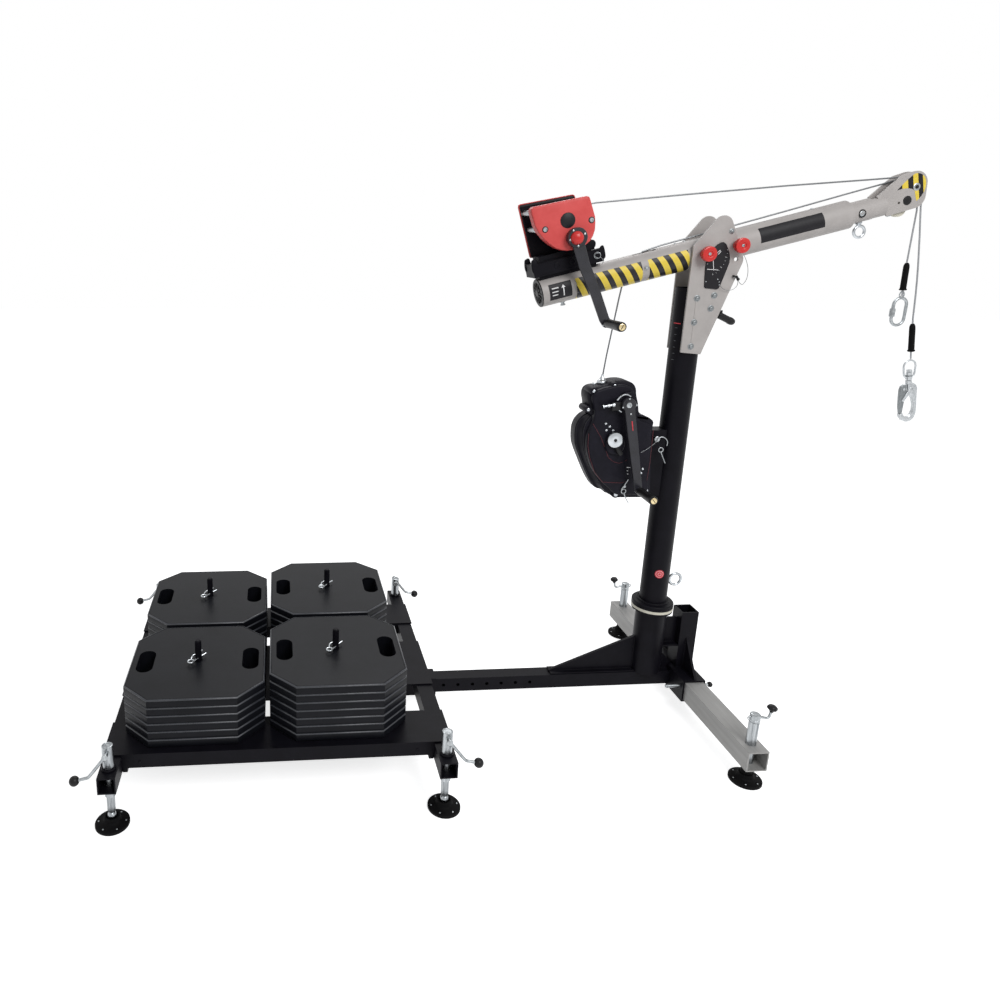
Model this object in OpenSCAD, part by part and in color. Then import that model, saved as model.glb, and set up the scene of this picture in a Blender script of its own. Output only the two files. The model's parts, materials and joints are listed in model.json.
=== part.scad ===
// Dead weight davit: a mast with a tilting, telescoping boom, standing on a
// beam and two outriggers, held down by four stacks of slotted weight plates.
// Millimetres. X runs along the beam towards the boom's tip, Y across, Z up.

/* [Weight plates] */
// Plate width and depth
plate_w = 400; // [300:10:500]
// Corner cut along each side
plate_cut = 74.5; // [40:0.5:100]
// Plate thickness
plate_t = 25.5; // [15:0.5:40]
// Spacing between stack centres along the beam
stack_pitch_x = 420; // [410:2:480]
// Spacing between stack centres across the beam
stack_pitch_y = 428; // [410:2:480]
// Plates in each of the two stacks away from the mast
plates_outer = 6; // [1:1:7]
// Plates in each of the two stacks nearer the mast
plates_inner = 7; // [1:1:7]

/* [Tray] */
// Height of the deck's top
deck_z = 184; // [150:1:250]
// Distance from the mast to the outer side tube
side_outer = 1764; // [1500:1:2000]
// Distance from the mast to the inner side tube
side_inner = 825; // [700:1:1000]
// Half length of a side tube
side_half = 530; // [450:5:600]
// Rear jacks' distance from the centre line
jack_y = 489; // [450:1:520]

/* [Base] */
// Main beam's outside size
beam_w = 50; // [40:1:50]
// Bottom of the main beam
beam_z = 68; // [62:1:70]
// Outrigger tube's outside size
leg_w = 65; // [50:5:80]
// Outrigger centre, ahead of the mast
leg_x = 121; // [90:1:140]
// Half width over the outriggers
leg_half = 481; // [400:1:600]
// Front jacks' distance from the centre line
foot_y = 438; // [380:1:460]
// Bottom of the outriggers
leg_z = 63; // [50:1:90]
// Foot pad diameter
pad_d = 95; // [60:1:120]

/* [Mast and boom] */
// Mast diameter
mast_d = 89; // [60:1:100]
// Top of the mast socket
sock_top = 360; // [300:1:400]
// Height of the boom's pivot
pivot_z = 1560; // [1200:1:1700]
// Boom angle above level
tilt = 14.4; // [-8:0.1:40]
// Boom tube diameter
boom_d = 88; // [60:1:100]
// Inner boom diameter
inner_d = 66; // [40:1:80]
// Boom length behind the pivot
boom_back = 504; // [300:1:600]
// Boom length ahead of the pivot
boom_front = 486; // [300:1:600]

/* [Hidden] */
x_off = 578;                            // puts the origin under the middle of the part
side_x = [-side_outer, -side_inner];
stack_x = [-1542, -1542 + stack_pitch_x];
stack_y = stack_pitch_y/2;
stack_n = [plates_outer, plates_inner];
rod_up = [68, 66];                      // rod above the top plate
rod_d = 20;
beam_top = beam_z + beam_w;
sleeve_top = leg_z + leg_w + 6.5;          // top of the sleeve over the outriggers
ring_t = 9;                             // nylon ring that the mast turns on
axle = [703, 33];                       // tip axle in the boom's frame
rope_r = 32;                            // sheave radius at the rope's centre
head_x = axle.x*cos(tilt) - axle.y*sin(tilt);
head_z = pivot_z + axle.x*sin(tilt) + axle.y*cos(tilt);
hub = [-388, 144];                      // winch crank in the boom's frame
grip_at = [-350, -121];                 // winch grip in the boom's frame
srl_hub = [-202, 1098];                 // retrieval crank
jack_d = 30;
screw_d = 23;
black = [0.08,0.08,0.09];
grey = [0.62,0.61,0.58];
zinc = [0.75,0.76,0.78];
red = [0.72,0.10,0.08];

// ---------- helpers
module at_off() translate([x_off,0,0]) children();
// the boom's own frame: X along it, Z across it, origin on the pivot
module boomed() translate([x_off,0,pivot_z]) rotate([0,-tilt,0]) children();
module cyl(d,h,f=32) cylinder(d=d,h=h,$fn=f);
module ycyl(d,y0,y1,f=32) translate([0,y0,0]) rotate([-90,0,0]) cylinder(d=d,h=y1-y0,$fn=f);
module xcyl(d,x0,x1,f=32) translate([x0,0,0]) rotate([0,90,0]) cylinder(d=d,h=x1-x0,$fn=f);
module box(a,b) translate(a) cube(b-a);
// square tube along an axis: outer box a-b, wall w, open along "x", "y" or "z"
module tube_box(a,b,w,open) difference() {
    box(a,b);
    o = [open=="x"?1:-w, open=="y"?1:-w, open=="z"?1:-w];
    box(a-o,b+o);
}
module ring(R,r,f=24,g=10) rotate_extrude($fn=f) translate([R,0]) circle(r=r,$fn=g);
// round bar from a to b
module bar(a,b,d,f=14) {
    v = b-a;
    translate(a) rotate([0,acos(v.z/norm(v)),atan2(v.y,v.x)]) cylinder(d=d,h=norm(v),$fn=f);
}
// flat shape round two circles: centre and diameter of each
module capsule(a,da,b,db) hull() {
    translate(a) circle(d=da,$fn=32);
    translate(b) circle(d=db,$fn=32);
}
// flat shape drawn in XZ, standing between two Y values
module slab(y0,y1) translate([0,y1,0]) rotate([90,0,0]) linear_extrude(y1-y0) children();

// ---------- weights
// square with its corners cut off
module oct(w,c) {
    h = w/2;
    polygon([[c-h,-h],[h-c,-h],[h,c-h],[h,h-c],[h-c,h],[c-h,h],[-h,h-c],[-h,c-h]]);
}
module plate() difference() {
    union() {
        linear_extrude(3,scale=plate_w/(plate_w-6)) oct(plate_w-6,plate_cut-1.1);
        translate([0,0,3]) linear_extrude(plate_t-6) oct(plate_w,plate_cut);
        translate([0,0,plate_t-3]) linear_extrude(3,scale=(plate_w-6)/plate_w) oct(plate_w,plate_cut);
    }
    for (s=[-1,1]) translate([s*158,0,-1]) linear_extrude(plate_t+2) {
        square([50,70],center=true);
        for (q=[-1,1]) translate([0,q*35]) circle(d=50,$fn=24);
    }
    translate([0,0,-1]) cyl(rod_d+4,plate_t+2,24);
}
module layers(first) at_off() for (k=[first:2:7], i=[0,1], s=[-1,1]) if (k <= stack_n[i])
    translate([stack_x[i], s*stack_y, deck_z+(k-1)*plate_t]) plate();
module odd_weight_plates() color(black) layers(1);
module even_weight_plates() color(black) layers(2);
module stacks() at_off() for (i=[0,1], s=[-1,1]) translate([stack_x[i], s*stack_y, 0]) {
    $plate_top = deck_z + plate_t*stack_n[i];
    $top = $plate_top + rod_up[i];
    $gap = s < 0 ? [stack_y-291,stack_y-150] : [118-stack_y,250-stack_y];
    children();
}
module stack_rods() color(black) stacks() difference() {
    union() {
        translate([0,0,deck_z]) cyl(rod_d,$top-deck_z-3,24);
        translate([0,0,$top-3]) cylinder(d1=rod_d,d2=rod_d-6,h=3,$fn=24);
        box([-40,$gap[0],deck_z-5],[40,$gap[1],deck_z]);
    }
    translate([0,0,$plate_top+10]) rotate([0,0,50]) xcyl(6,-20,20,12);
}
module rod_clips() color(zinc) stacks() translate([0,0,$plate_top+10]) rotate([0,0,50]) {
    xcyl(4,-26,34,10);
    translate([-33,0,0]) difference() {
        ycyl(18,-2,2,20);
        ycyl(10,-3,3,20);
    }
}

// ---------- tray
module tray_side_tubes() color(black) at_off() for (x=side_x) difference() {
    tube_box([x-25,-side_half,deck_z-55],[x+25,side_half,deck_z-5],4,"y");
    for (s=[-1,1]) translate([x,s*jack_y,100]) cyl(jack_d,100,28);
}
module tray_cross_tubes() color(black) at_off() for (y=[-441,-331,250,360])
    tube_box([side_x[0]+25,y,deck_z-44],[side_x[1]-25,y+40,deck_z-5],3,"x");
module deck_plates() color(black) at_off() for (y=[[-441,-291],[-150,118],[250,400]])
    box([side_x[0]-28,y[0],deck_z-5],[side_x[1]+28,y[1],deck_z]);
// sleeve that slides on the main beam, with the packers that carry the tray on it
module beam_sleeve() color(black) at_off() {
    h = beam_w/2;
    ends = [side_x[0]-30,-758];
    box([ends[0],-h-6,beam_z-6],[ends[1],h+6,beam_z-1]);
    for (s=[-1,1]) difference() {
        box([ends[0],s>0?h+1:-h-6,beam_z-0.7],[ends[1],s>0?h+6:-h-1,beam_top+0.7]);
        translate([-781,0,beam_z+h]) ycyl(12,-60,60,16);
    }
    box([ends[0],-h-6,beam_top+1],[ends[1],h+6,beam_top+6]);
    for (x=side_x) box([x-20,-h-6,beam_top+6],[x+20,h+6,deck_z-55]);
    for (x=[-1500,-1080]) box([x-20,-h-1,beam_top+6],[x+20,h+1,deck_z-5]);
}
module rear_jack_tubes() color(zinc) at_off()
    for (x=side_x, s=[-1,1]) translate([x,s*jack_y,0]) difference() {
        translate([0,0,96]) cyl(jack_d,156,28);
        translate([0,0,95]) cyl(screw_d+0.1,150,28);
    }

// ---------- base
module main_beam() color(black) at_off() difference() {
    tube_box([-1330,-beam_w/2,beam_z],[leg_x-39,beam_w/2,beam_top],5,"x");
    for (k=[0:7]) translate([-781+k*51,0,beam_z+beam_w/2]) ycyl(12,-50,50,16);
}
module mast_socket() color(black) at_off() difference() {
    union() {
        translate([0,0,beam_top]) cyl(102,sock_top-beam_top,48);
        translate([0,0,sock_top-7]) cyl(134,7,48);
    }
    translate([0,0,beam_top+6]) cyl(mast_d+0.1,400,48);
}
module socket_gussets() color(black) at_off() difference() {
    union() {
        slab(-5,5) polygon([[-352,beam_top],[-40,beam_top],[-40,253.5],[-53,247.5],[-352,beam_top+6.5]]);
        box([-350,-22,beam_top],[-48,22,beam_top+5]);
        slab(-4,4) polygon([[40,beam_top],[leg_x-39,beam_top],[leg_x-39,sleeve_top],
            [98,sleeve_top],[60,176],[40,176]]);
        slab(-4,4) polygon([[40,222],[98,222],[98,228],[67,262],[61,308],[40,308]]);
        box([40,-27,216],[98,27,222]);
        for (s=[-1,1]) translate([leg_x+7,0,0]) rotate([90,0,90]) translate([0,0,-4]) linear_extrude(8)
            polygon([[s*30,sleeve_top],[s*30,250],[s*38,236],[s*84,170],[s*112,sleeve_top]]);
    }
    translate([0,0,100]) cyl(102,300,48);
}
module upright_socket() color(black) at_off() tube_box([leg_x-23,-30,sleeve_top],[leg_x+37,30,346],4,"z");
module cross_sleeve() color(black) at_off()
    tube_box([leg_x-39,-118,leg_z-6.5],[leg_x+39,118,sleeve_top],5.5,"y");
module socket_ring() color([0.85,0.83,0.75]) at_off() translate([0,0,sock_top]) difference() {
    cyl(136,ring_t,48);
    translate([0,0,-1]) cyl(mast_d+0.1,20,48);
}
module leg_lock_pins() color(zinc) at_off() for (s=[-1,1]) translate([leg_x,s*98,106]) {
    xcyl(12,-92,-39,16);
    xcyl(16,39,52,16);
    xcyl(9,51,62,16);
    translate([69,0,0]) sphere(d=20,$fn=16);
}

// ---------- outriggers
module leg(s) at_off() difference() {
    tube_box([leg_x-leg_w/2,s>0?12:-leg_half,leg_z],[leg_x+leg_w/2,s>0?leg_half:-12,leg_z+leg_w],4,"y");
    translate([leg_x,s*foot_y,0]) cyl(jack_d,200,28);
}
module near_leg() color(grey) leg(-1);
module far_leg() color(grey) leg(1);
module leg_jack_tube(s) at_off() translate([leg_x,s*foot_y,0]) difference() {
    translate([0,0,60]) cyl(jack_d,145,28);
    translate([0,0,59]) cyl(screw_d+0.1,141,28);
}
module near_jack_tube() color(zinc) leg_jack_tube(-1);
module far_jack_tube() color(zinc) leg_jack_tube(1);
// foot: pad with six holes, hub, ball and screw
module foot(x,y,top) at_off() translate([x,y,0]) difference() {
    union() {
        cyl(pad_d,9,40);
        translate([0,0,9]) cylinder(d1=pad_d-4,d2=56,h=5,$fn=40);
        translate([0,0,14]) cyl(44,14,32);
        translate([0,0,32]) sphere(d=36,$fn=24);
        translate([0,0,32]) cyl(screw_d,top-32,28);
    }
    for (k=[0:5]) rotate(k*60) translate([37.5,0,-1]) cyl(8,18,16);
}
module near_front_foot() color(black) foot(leg_x,-foot_y,190);
module far_front_foot() color(black) foot(leg_x,foot_y,190);
module near_inner_foot() color(black) foot(side_x[1],-jack_y,200);
module far_inner_foot() color(black) foot(side_x[1],jack_y,200);
module near_outer_foot() color(black) foot(side_x[0],-jack_y,200);
module far_outer_foot() color(black) foot(side_x[0],jack_y,200);
// front jack crank: turning head, cross bar, arm and ball
module front_crank(s) at_off() translate([leg_x,s*foot_y,0]) {
    translate([0,0,205.2]) cyl(jack_d,26,28);
    translate([0,0,218]) rotate([0,0,s<0?0:180]) {
        xcyl(9,jack_d/2-1,44,14);
        xcyl(15,-jack_d/2-8,-jack_d/2+1,6);
        translate([44,0,0]) sphere(d=9,$fn=14);
        translate([44,0,0]) cyl(9,22,14);
        translate([44,0,32]) sphere(d=30,$fn=24);
    }
}
module near_front_crank() color(zinc) front_crank(-1);
module far_front_crank() color(zinc) front_crank(1);
// rear jack handle, folded down beside the tube
module rear_handle(i,s) at_off() translate([side_x[i],s*jack_y,0]) rotate([0,0,i==0?180:0]) {
    t = i==0 ? -s : s;
    translate([0,0,238]) ycyl(12,t>0?jack_d/2+0.5:-35,t>0?35:-jack_d/2-0.5,16);
    bar([0,t*29,238],[48,t*29,176],9);
    translate([48,t*29,176]) sphere(d=10.4,$fn=16);
    bar([48,t*29,176],[78,t*29,169],9);
    translate([86,t*29,167]) sphere(d=28,$fn=24);
}
module near_outer_handle() color(zinc) rear_handle(0,-1);
module far_outer_handle() color(zinc) rear_handle(0,1);
module near_inner_handle() color(zinc) rear_handle(1,-1);
module far_inner_handle() color(zinc) rear_handle(1,1);

// ---------- mast
module mast_tube() color(black) at_off() difference() {
    translate([0,0,beam_top+7]) cyl(mast_d,1455-beam_top-7,48);
    translate([0,0,beam_top]) cyl(mast_d-9,1400,48);
}
module mast_collar() color(black) at_off() translate([0,0,sock_top+ring_t]) difference() {
    union() {
        cyl(136,17,48);
        cyl(106,22,48);
    }
    translate([0,0,-1]) cyl(mast_d,30,48);
}
module cheek_outline() hull() {
    translate([50,1643]) circle(r=30,$fn=32);
    translate([96,1542]) circle(r=30,$fn=32);
    polygon([[-37,1258],[-37,1582],[28,1252],[54,1335]]);
}
module cheek_plates() color(grey) at_off() {
    for (y=[-53,47]) slab(y,y+6) difference() {
        translate([y > 0 ? 9 : 0,0]) cheek_outline();
        for (a=[40.4,-8.6]) translate([104*cos(a),pivot_z+104*sin(a)]) circle(d=13,$fn=20);
        translate([0,pivot_z]) circle(d=16,$fn=24);
        translate([104*cos(tilt),pivot_z+104*sin(tilt)]) circle(d=12,$fn=20);
    }
    difference() {
        for (y=[-47,40]) box([-16,y,1262],[16,y+7,1445]);
        translate([0,0,1200]) cyl(mast_d,300,48);
    }
}
module mast_fittings() color(zinc) at_off() {
    for (p=[[41,1437],[35,1396],[-6,1428],[-8,1352],[-12,1284]], s=[-1,1])
        translate([p.x,0,p.y]) ycyl(15,s>0?53:-60,s>0?60:-53,6);
    translate([72,0,460]) rotate([90,0,0]) ring(20.5,5,28,10);
    translate([0,0,460]) xcyl(12,mast_d/2+0.1,52.5,16);
}
module angle_dial() color(black) at_off() slab(-56,-53) difference() {
    polygon([[28,1579],[45,1593],[55,1595],[69,1581],[81,1554],[82,1531],
        [63,1467],[55,1453],[11,1457],[7,1520],[10,1560]]);
    translate([0,pivot_z]) circle(d=30,$fn=24);
}
module lock_knobs() color(red) at_off() {
    translate([0,0,pivot_z]) {
        ycyl(15.9,-66,66,24);
        ycyl(46,-86,-64,28);
        ycyl(28,53.2,66,24);
    }
    translate([104*cos(tilt),0,pivot_z+104*sin(tilt)]) {
        ycyl(11.9,-66,-48,20);
        ycyl(46,-86,-64,28);
    }
}
module head_lever() color(black) at_off() {
    translate([70,0,1376]) ycyl(14,-47,47,20);
    bar([70,20,1376],[120,20,1366],12,16);
    bar([112,20,1369],[160,20,1347],24,20);
    translate([158,20,1348]) sphere(d=26,$fn=20);
}
srl_back = [[-82,775],[-84,885],[-92,1000]];
srl_front = [[-94,1037],[-151,1064],[-160,1112],[-166,1134],[-185,1164],[-226,1170],[-283,1158],[-303,1151],
    [-317,1144],[-325,1124],[-321,1098],[-312,1072],[-318,1043],[-333,1002],[-338,965],[-331,925],[-310,885],
    [-275,832],[-228,795],[-196,774]];
riser_x = -259;
srl_end = [-147,822];                   // end of the crank's arm
// channel that holds the retrieval unit to the mast
module srl_bracket() color(black) at_off() difference() {
    slab(-26,26) polygon(concat(srl_back,[[-20,1000],[-20,775]]));
    box([-95,-20,781],[-19,20,994]);
    translate([0,0,700]) cyl(mast_d,400,48);
}
module srl_body() color(black) at_off() difference() {
    union() {
        slab(-34,24) polygon(concat(srl_back,srl_front));
        slab(24,42) intersection() {
            polygon(concat(srl_back,srl_front));
            translate([-400,700]) square([400,378]);
        }
        slab(-58,-34) offset(delta=-10) polygon(concat(srl_back,srl_front));
        translate([riser_x,0,1150]) cyl(30,24,20);
    }
    translate([srl_hub.x,0,srl_hub.y]) ycyl(14.1,-60,-40,20);
    translate([riser_x,0,1140]) cyl(9,40,16);
}
module srl_crank() color(black) at_off() {
    translate([srl_hub.x,0,srl_hub.y]) {
        ycyl(14,-84,-42,20);
        ycyl(44,-94,-72,28);
    }
    hull() {
        translate([srl_hub.x,0,srl_hub.y]) ycyl(34,-94,-84,24);
        translate([srl_end.x,0,srl_end.y]) ycyl(24,-102,-92,24);
    }
    translate([srl_end.x,0,srl_end.y]) ycyl(10,-205,-92,16);
}
module srl_grip() color(black) at_off() translate([srl_end.x,0,srl_end.y]) difference() {
    ycyl(28,-203,-107,24);
    ycyl(10.1,-210,-90,16);
}

// ---------- boom
module boom_tube() color(grey) boomed() difference() {
    xcyl(boom_d,-boom_back,boom_front,48);
    xcyl(inner_d+6,-boom_back-1,boom_front+1,48);
    ycyl(16,-60,60,24);
    translate([104,0,0]) ycyl(12,-60,60,20);
    box([-262,-12,-60],[-218,12,0]);
    box([-200,-12,0],[-125,12,60]);
}
module boom_end_cap() color(black) boomed() {
    xcyl(inner_d+5.9,-boom_back-3,-boom_back+10,48);
    for (k=[0:11]) rotate([k*30,0,0]) box([-boom_back-6,24,-3],[-boom_back-3,34,3]);
}
// two stacked channels on a saddle, with a fork and its pin at the front
module winch_bracket() color(black) boomed() {
    difference() {
        box([-500,-20,38],[-320,20,52]);
        xcyl(boom_d+0.2,-600,0,48);
    }
    difference() {
        box([-520,-38,52],[-302,38,92]);
        box([-480,-28,64],[-352,28,93]);
        box([-344,-20,60],[-301,20,93]);
        translate([-322,0,74]) ycyl(12,-50,50,16);
    }
    difference() {
        box([-495,-27,92],[-332,27,110]);
        box([-470,-20,91],[-352,20,111]);
    }
    slab(22,28) polygon([[-505,264],[-340,254],[-328,190],[-332,110],[-500,110]]);
    translate([-322,0,74]) ycyl(11.9,-50,50,16);
}
winch_pts = [[-505,252],[-499,258],[-334,251],[-326,246],[-319,190],[-322,162],[-334,135],[-346,122],
    [-362,114],[-388,109],[-415,110],[-447,124],[-466,142],[-482,162],[-494,182],[-502,202]];
module winch_covers() color(red) boomed() {
    slab(-64,-34) difference() {
        polygon(winch_pts);
        translate(hub) circle(d=18.1,$fn=24);
    }
    slab(28,34) polygon([[-511,266],[-505,272],[-342,262],[-335,254],[-322,190],[-328,140],[-345,116],
        [-495,106],[-502,112]]);
}
module winch_spacers() color(zinc) boomed() for (p=[[-494,243],[-490,192],[-340,238]])
    translate([p.x,0,p.y]) ycyl(14,-34,22,16);
module winch_crank() color(black) boomed() {
    translate([hub.x,0,hub.y]) {
        ycyl(18,-76,-30,24);
        ycyl(60,-88,-68,32);
        ycyl(56,-30,18,32);
    }
    hull() {
        translate([hub.x,0,hub.y]) ycyl(38,-84,-76,28);
        translate([-376,0,36]) ycyl(35,-88,-80,28);
    }
    hull() {
        translate([-376,0,36]) ycyl(35,-88,-80,28);
        translate([grip_at.x,0,grip_at.y]) ycyl(30,-108,-100,28);
    }
    translate([grip_at.x,0,grip_at.y]) ycyl(12,-215,-100,16);
}
module winch_grip() color(black) boomed() translate([grip_at.x,0,grip_at.y]) difference() {
    ycyl(30,-213,-113,24);
    ycyl(12.1,-220,-100,16);
}
module head_outline() hull() {
    translate([701,43]) circle(r=38,$fn=32);
    translate([694,8]) circle(r=38,$fn=32);
    polygon([[576,33],[603,-33],[659,78]]);
}
module inner_boom() color(grey) boomed() difference() {
    union() {
        xcyl(inner_d,140,600,40);
        slab(-21,-15) head_outline();
        slab(15,21) head_outline();
    }
    xcyl(inner_d-10,139,560,40);
    box([561,-15,-60],[800,15,140]);
    translate([axle.x,0,axle.y]) ycyl(12,-60,60,20);
    translate([644,0,-2]) ycyl(8,-60,60,16);
}
module boom_eye() color(zinc) boomed() translate([527,0,0]) {
    translate([0,0,-62]) rotate([90,0,0]) ring(17.5,4.5,28,10);
    translate([0,0,-45]) cyl(12,11.9,16);
}
module tip_sheaves() color(black) boomed() translate([axle.x,0,axle.y]) {
    ycyl(11.9,-24,24,20);
    for (y=[-8,8]) difference() {
        ycyl(2*rope_r,y-6,y+6,40);
        translate([0,y,0]) rotate([90,0,0]) ring(rope_r,3.2,40,12);
    }
}

// ---------- lines
function unit(v) = v/norm(v);
// round tube swept along points that keep near the XZ plane
module line_tube(pts,d,n=8) {
    k = len(pts);
    T = [for (i=[0:k-1]) unit(pts[min(i+1,k-1)]-pts[max(i-1,0)])];
    P = [for (i=[0:k-1]) let(a=unit(cross(T[i],[0,1,0])), b=cross(a,T[i])) for (j=[0:n-1])
        pts[i] + (is_list(d)?d[i]:d)/2*(cos(360*j/n)*a + sin(360*j/n)*b)];
    polyhedron(P, concat(
        [[for (j=[0:n-1]) j]],
        [for (i=[0:k-2]) for (j=[0:n-1]) [(i+1)*n+j,(i+1)*n+(j+1)%n,i*n+(j+1)%n,i*n+j]],
        [[for (j=[n-1:-1:0]) (k-1)*n+j]]));
}
wire = 5;
module winch_cable() color(zinc) boomed()
    line_tube([[-355,-8,192],[-322,-8,226],[-290,-8,224],[0,-8,180],
        [300,-8,133],[560,-8,89],[706,-8,65]],wire);
module retrieval_cable() color(zinc) boomed()
    line_tube([[-190,8,12],[-176,8,34],[-160,8,44],[-100,8,49],
        [100,8,52],[300,8,56],[500,8,61],[695,8,65]],wire);
module riser_cable() color(zinc) at_off()
    line_tube([[riser_x,0,1165],[-252,0,1240],[-241,0,1330],[-230,0,1420],[-222,0,1475]],wire);
// A hanging line: wire, then the moulded sleeve over its end. Each point is
// distance out from the sheave's edge, distance below the axle, thickness.
hook_route = [[0,0,wire],[2,28,wire],[5,58,wire],[12,100,wire],[20,145,wire],[27,190,wire],[34,235,wire],
    [40,280,wire],[45,325,wire],[49,368,wire],[52,405,wire],[55,424,wire],[55,426,18],[60,460,18],
    [65,490,18],[68,512,18],[68,514,wire],[70,525,wire],[72,537,wire]];
link_route = [[0,0,wire],[2,22,wire],[5,45,wire],[8,70,wire],[8,95,wire],[8,120,wire],[8,145,wire],
    [8,170,wire],[8,195,wire],[8,215,wire],[8,232,wire],[9,234,18],[10,260,18],[11,290,18],[12,316,18],
    [12,318,wire],[13,327,wire],[13,335,wire]];
module hanging_line(route,y) at_off() translate([head_x+rope_r,y,head_z])
    line_tube([for (p=route) [p.x,0,-p.y]],[for (p=route) p.z]);
hook_x = head_x + rope_r + 75;
link_x = head_x + rope_r + 12;
module hook_line() color(zinc) hanging_line(hook_route,-8);
module link_line() color(zinc) hanging_line(link_route,8);
module oval_link() color(zinc) at_off() translate([link_x,8,1382]) slab(-5,5) difference() {
    capsule([0,-22],54,[0,22],54);
    capsule([0,-22],34,[0,22],34);
}
// Bail, swivel and hook body, drawn down from the bail's middle
module snap_hook() color(zinc) at_off() translate([hook_x,-8,1193]) rotate([0,-7.5,0]) {
    slab(-3.5,3.5) difference() {
        capsule([0,11],47,[0,-8],44);
        capsule([0,11],35,[0,-8],32);
    }
    translate([0,0,-47]) cyl(19,50,24);
    slab(-7,7) difference() {
        hull() {
            translate([-3,-62]) circle(d=50,$fn=32);
            translate([-3,-100]) circle(d=58,$fn=32);
            translate([0,-148]) circle(d=57,$fn=32);
        }
        capsule([3,-100],16,[0,-142],32);
    }
}

main_beam();
mast_socket();
socket_gussets();
upright_socket();
cross_sleeve();
socket_ring();
leg_lock_pins();
tray_side_tubes();
tray_cross_tubes();
deck_plates();
beam_sleeve();
odd_weight_plates();
even_weight_plates();
stack_rods();
rod_clips();
rear_jack_tubes();
near_leg();
far_leg();
near_jack_tube();
far_jack_tube();
near_front_foot();
far_front_foot();
near_inner_foot();
far_inner_foot();
near_outer_foot();
far_outer_foot();
near_front_crank();
far_front_crank();
near_outer_handle();
far_outer_handle();
near_inner_handle();
far_inner_handle();
mast_tube();
mast_collar();
cheek_plates();
mast_fittings();
angle_dial();
lock_knobs();
head_lever();
srl_bracket();
srl_body();
srl_crank();
srl_grip();
boom_tube();
boom_end_cap();
winch_bracket();
winch_covers();
winch_spacers();
winch_crank();
winch_grip();
inner_boom();
boom_eye();
tip_sheaves();
winch_cable();
retrieval_cable();
riser_cable();
hook_line();
link_line();
oval_link();
snap_hook();
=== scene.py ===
import json
from math import asin, atan2, cos, degrees, pi, radians, sin, tau

import bmesh
import bpy
from mathutils import Matrix, Vector


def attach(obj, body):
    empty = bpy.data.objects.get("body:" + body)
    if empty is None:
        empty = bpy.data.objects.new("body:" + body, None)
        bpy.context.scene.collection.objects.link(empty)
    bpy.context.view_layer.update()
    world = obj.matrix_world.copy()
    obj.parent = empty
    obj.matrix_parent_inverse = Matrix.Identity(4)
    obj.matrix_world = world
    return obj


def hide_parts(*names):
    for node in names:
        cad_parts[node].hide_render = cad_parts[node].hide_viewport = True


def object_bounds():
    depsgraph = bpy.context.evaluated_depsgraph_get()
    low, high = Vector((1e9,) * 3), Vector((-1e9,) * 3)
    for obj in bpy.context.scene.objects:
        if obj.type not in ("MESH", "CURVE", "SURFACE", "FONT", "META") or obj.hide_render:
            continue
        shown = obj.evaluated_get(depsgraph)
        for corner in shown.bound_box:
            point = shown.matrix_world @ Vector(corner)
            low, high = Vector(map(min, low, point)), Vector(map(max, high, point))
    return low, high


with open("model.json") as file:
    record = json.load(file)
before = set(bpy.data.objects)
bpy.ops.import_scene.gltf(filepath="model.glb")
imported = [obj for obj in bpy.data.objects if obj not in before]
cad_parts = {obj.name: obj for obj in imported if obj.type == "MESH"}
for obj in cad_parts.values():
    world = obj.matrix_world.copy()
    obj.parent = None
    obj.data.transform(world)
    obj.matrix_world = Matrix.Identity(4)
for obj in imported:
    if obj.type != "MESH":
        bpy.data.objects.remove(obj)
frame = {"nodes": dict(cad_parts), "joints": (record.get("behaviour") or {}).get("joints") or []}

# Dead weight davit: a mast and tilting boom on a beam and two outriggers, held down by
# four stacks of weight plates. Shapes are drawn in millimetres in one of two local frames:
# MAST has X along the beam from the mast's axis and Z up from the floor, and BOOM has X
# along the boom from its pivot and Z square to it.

cad_low, cad_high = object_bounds()
JOINTS = {j["name"]: j for j in frame["joints"]}

# ---------------------------------------------------------------- local frames
MM = 0.001
pivot = Vector(JOINTS["boom_tilt"]["pos_m"])
along = Vector(JOINTS["boom_extend"]["axis"]).normalized()
square = along.cross(Vector((0, 1, 0)))
TILT = atan2(along.z, along.x)
MAST = Matrix.Translation((pivot.x, 0, 0)) @ Matrix.Scale(MM, 4)
turned = Matrix((along, (0, 1, 0), square)).transposed().to_4x4()
BOOM = Matrix.Translation(pivot) @ turned @ Matrix.Scale(MM, 4)


def local(point, place=MAST):
    """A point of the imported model's frame in one of the local frames, in millimetres."""
    return place.inverted() @ Vector(point)


# ---------------------------------------------------------------- camera
YAW, PITCH, ROLL = 0.0842, 0.2484, 0.0123
FROM_PIVOT = Vector((-1.2948, -2.3214, 0.0482))
LENS_MM, SHIFT_X, SHIFT_Y = 27.39, 0.160, -0.0742
camera = bpy.data.objects.new("camera", bpy.data.cameras.new("camera"))
bpy.context.scene.collection.objects.link(camera)
camera.location = pivot + FROM_PIVOT
turned_by = Matrix.Rotation(-YAW, 3, "Z") @ Matrix.Rotation(pi / 2 - PITCH, 3, "X")
camera.rotation_euler = (turned_by @ Matrix.Rotation(ROLL, 3, "Z")).to_euler()
camera.data.lens = LENS_MM
camera.data.shift_x, camera.data.shift_y = SHIFT_X, SHIFT_Y
bpy.context.scene.camera = camera
bpy.context.scene.view_settings.view_transform = "Standard"


# ---------------------------------------------------------------- material nodes
def linear(code):
    """An sRGB hex colour as the linear colour that shaders take."""
    parts = [int(code[i:i + 2], 16) / 255 for i in (1, 3, 5)]
    return [c / 12.92 if c <= 0.04045 else ((c + 0.055) / 1.055) ** 2.4 for c in parts] + [1]


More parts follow.
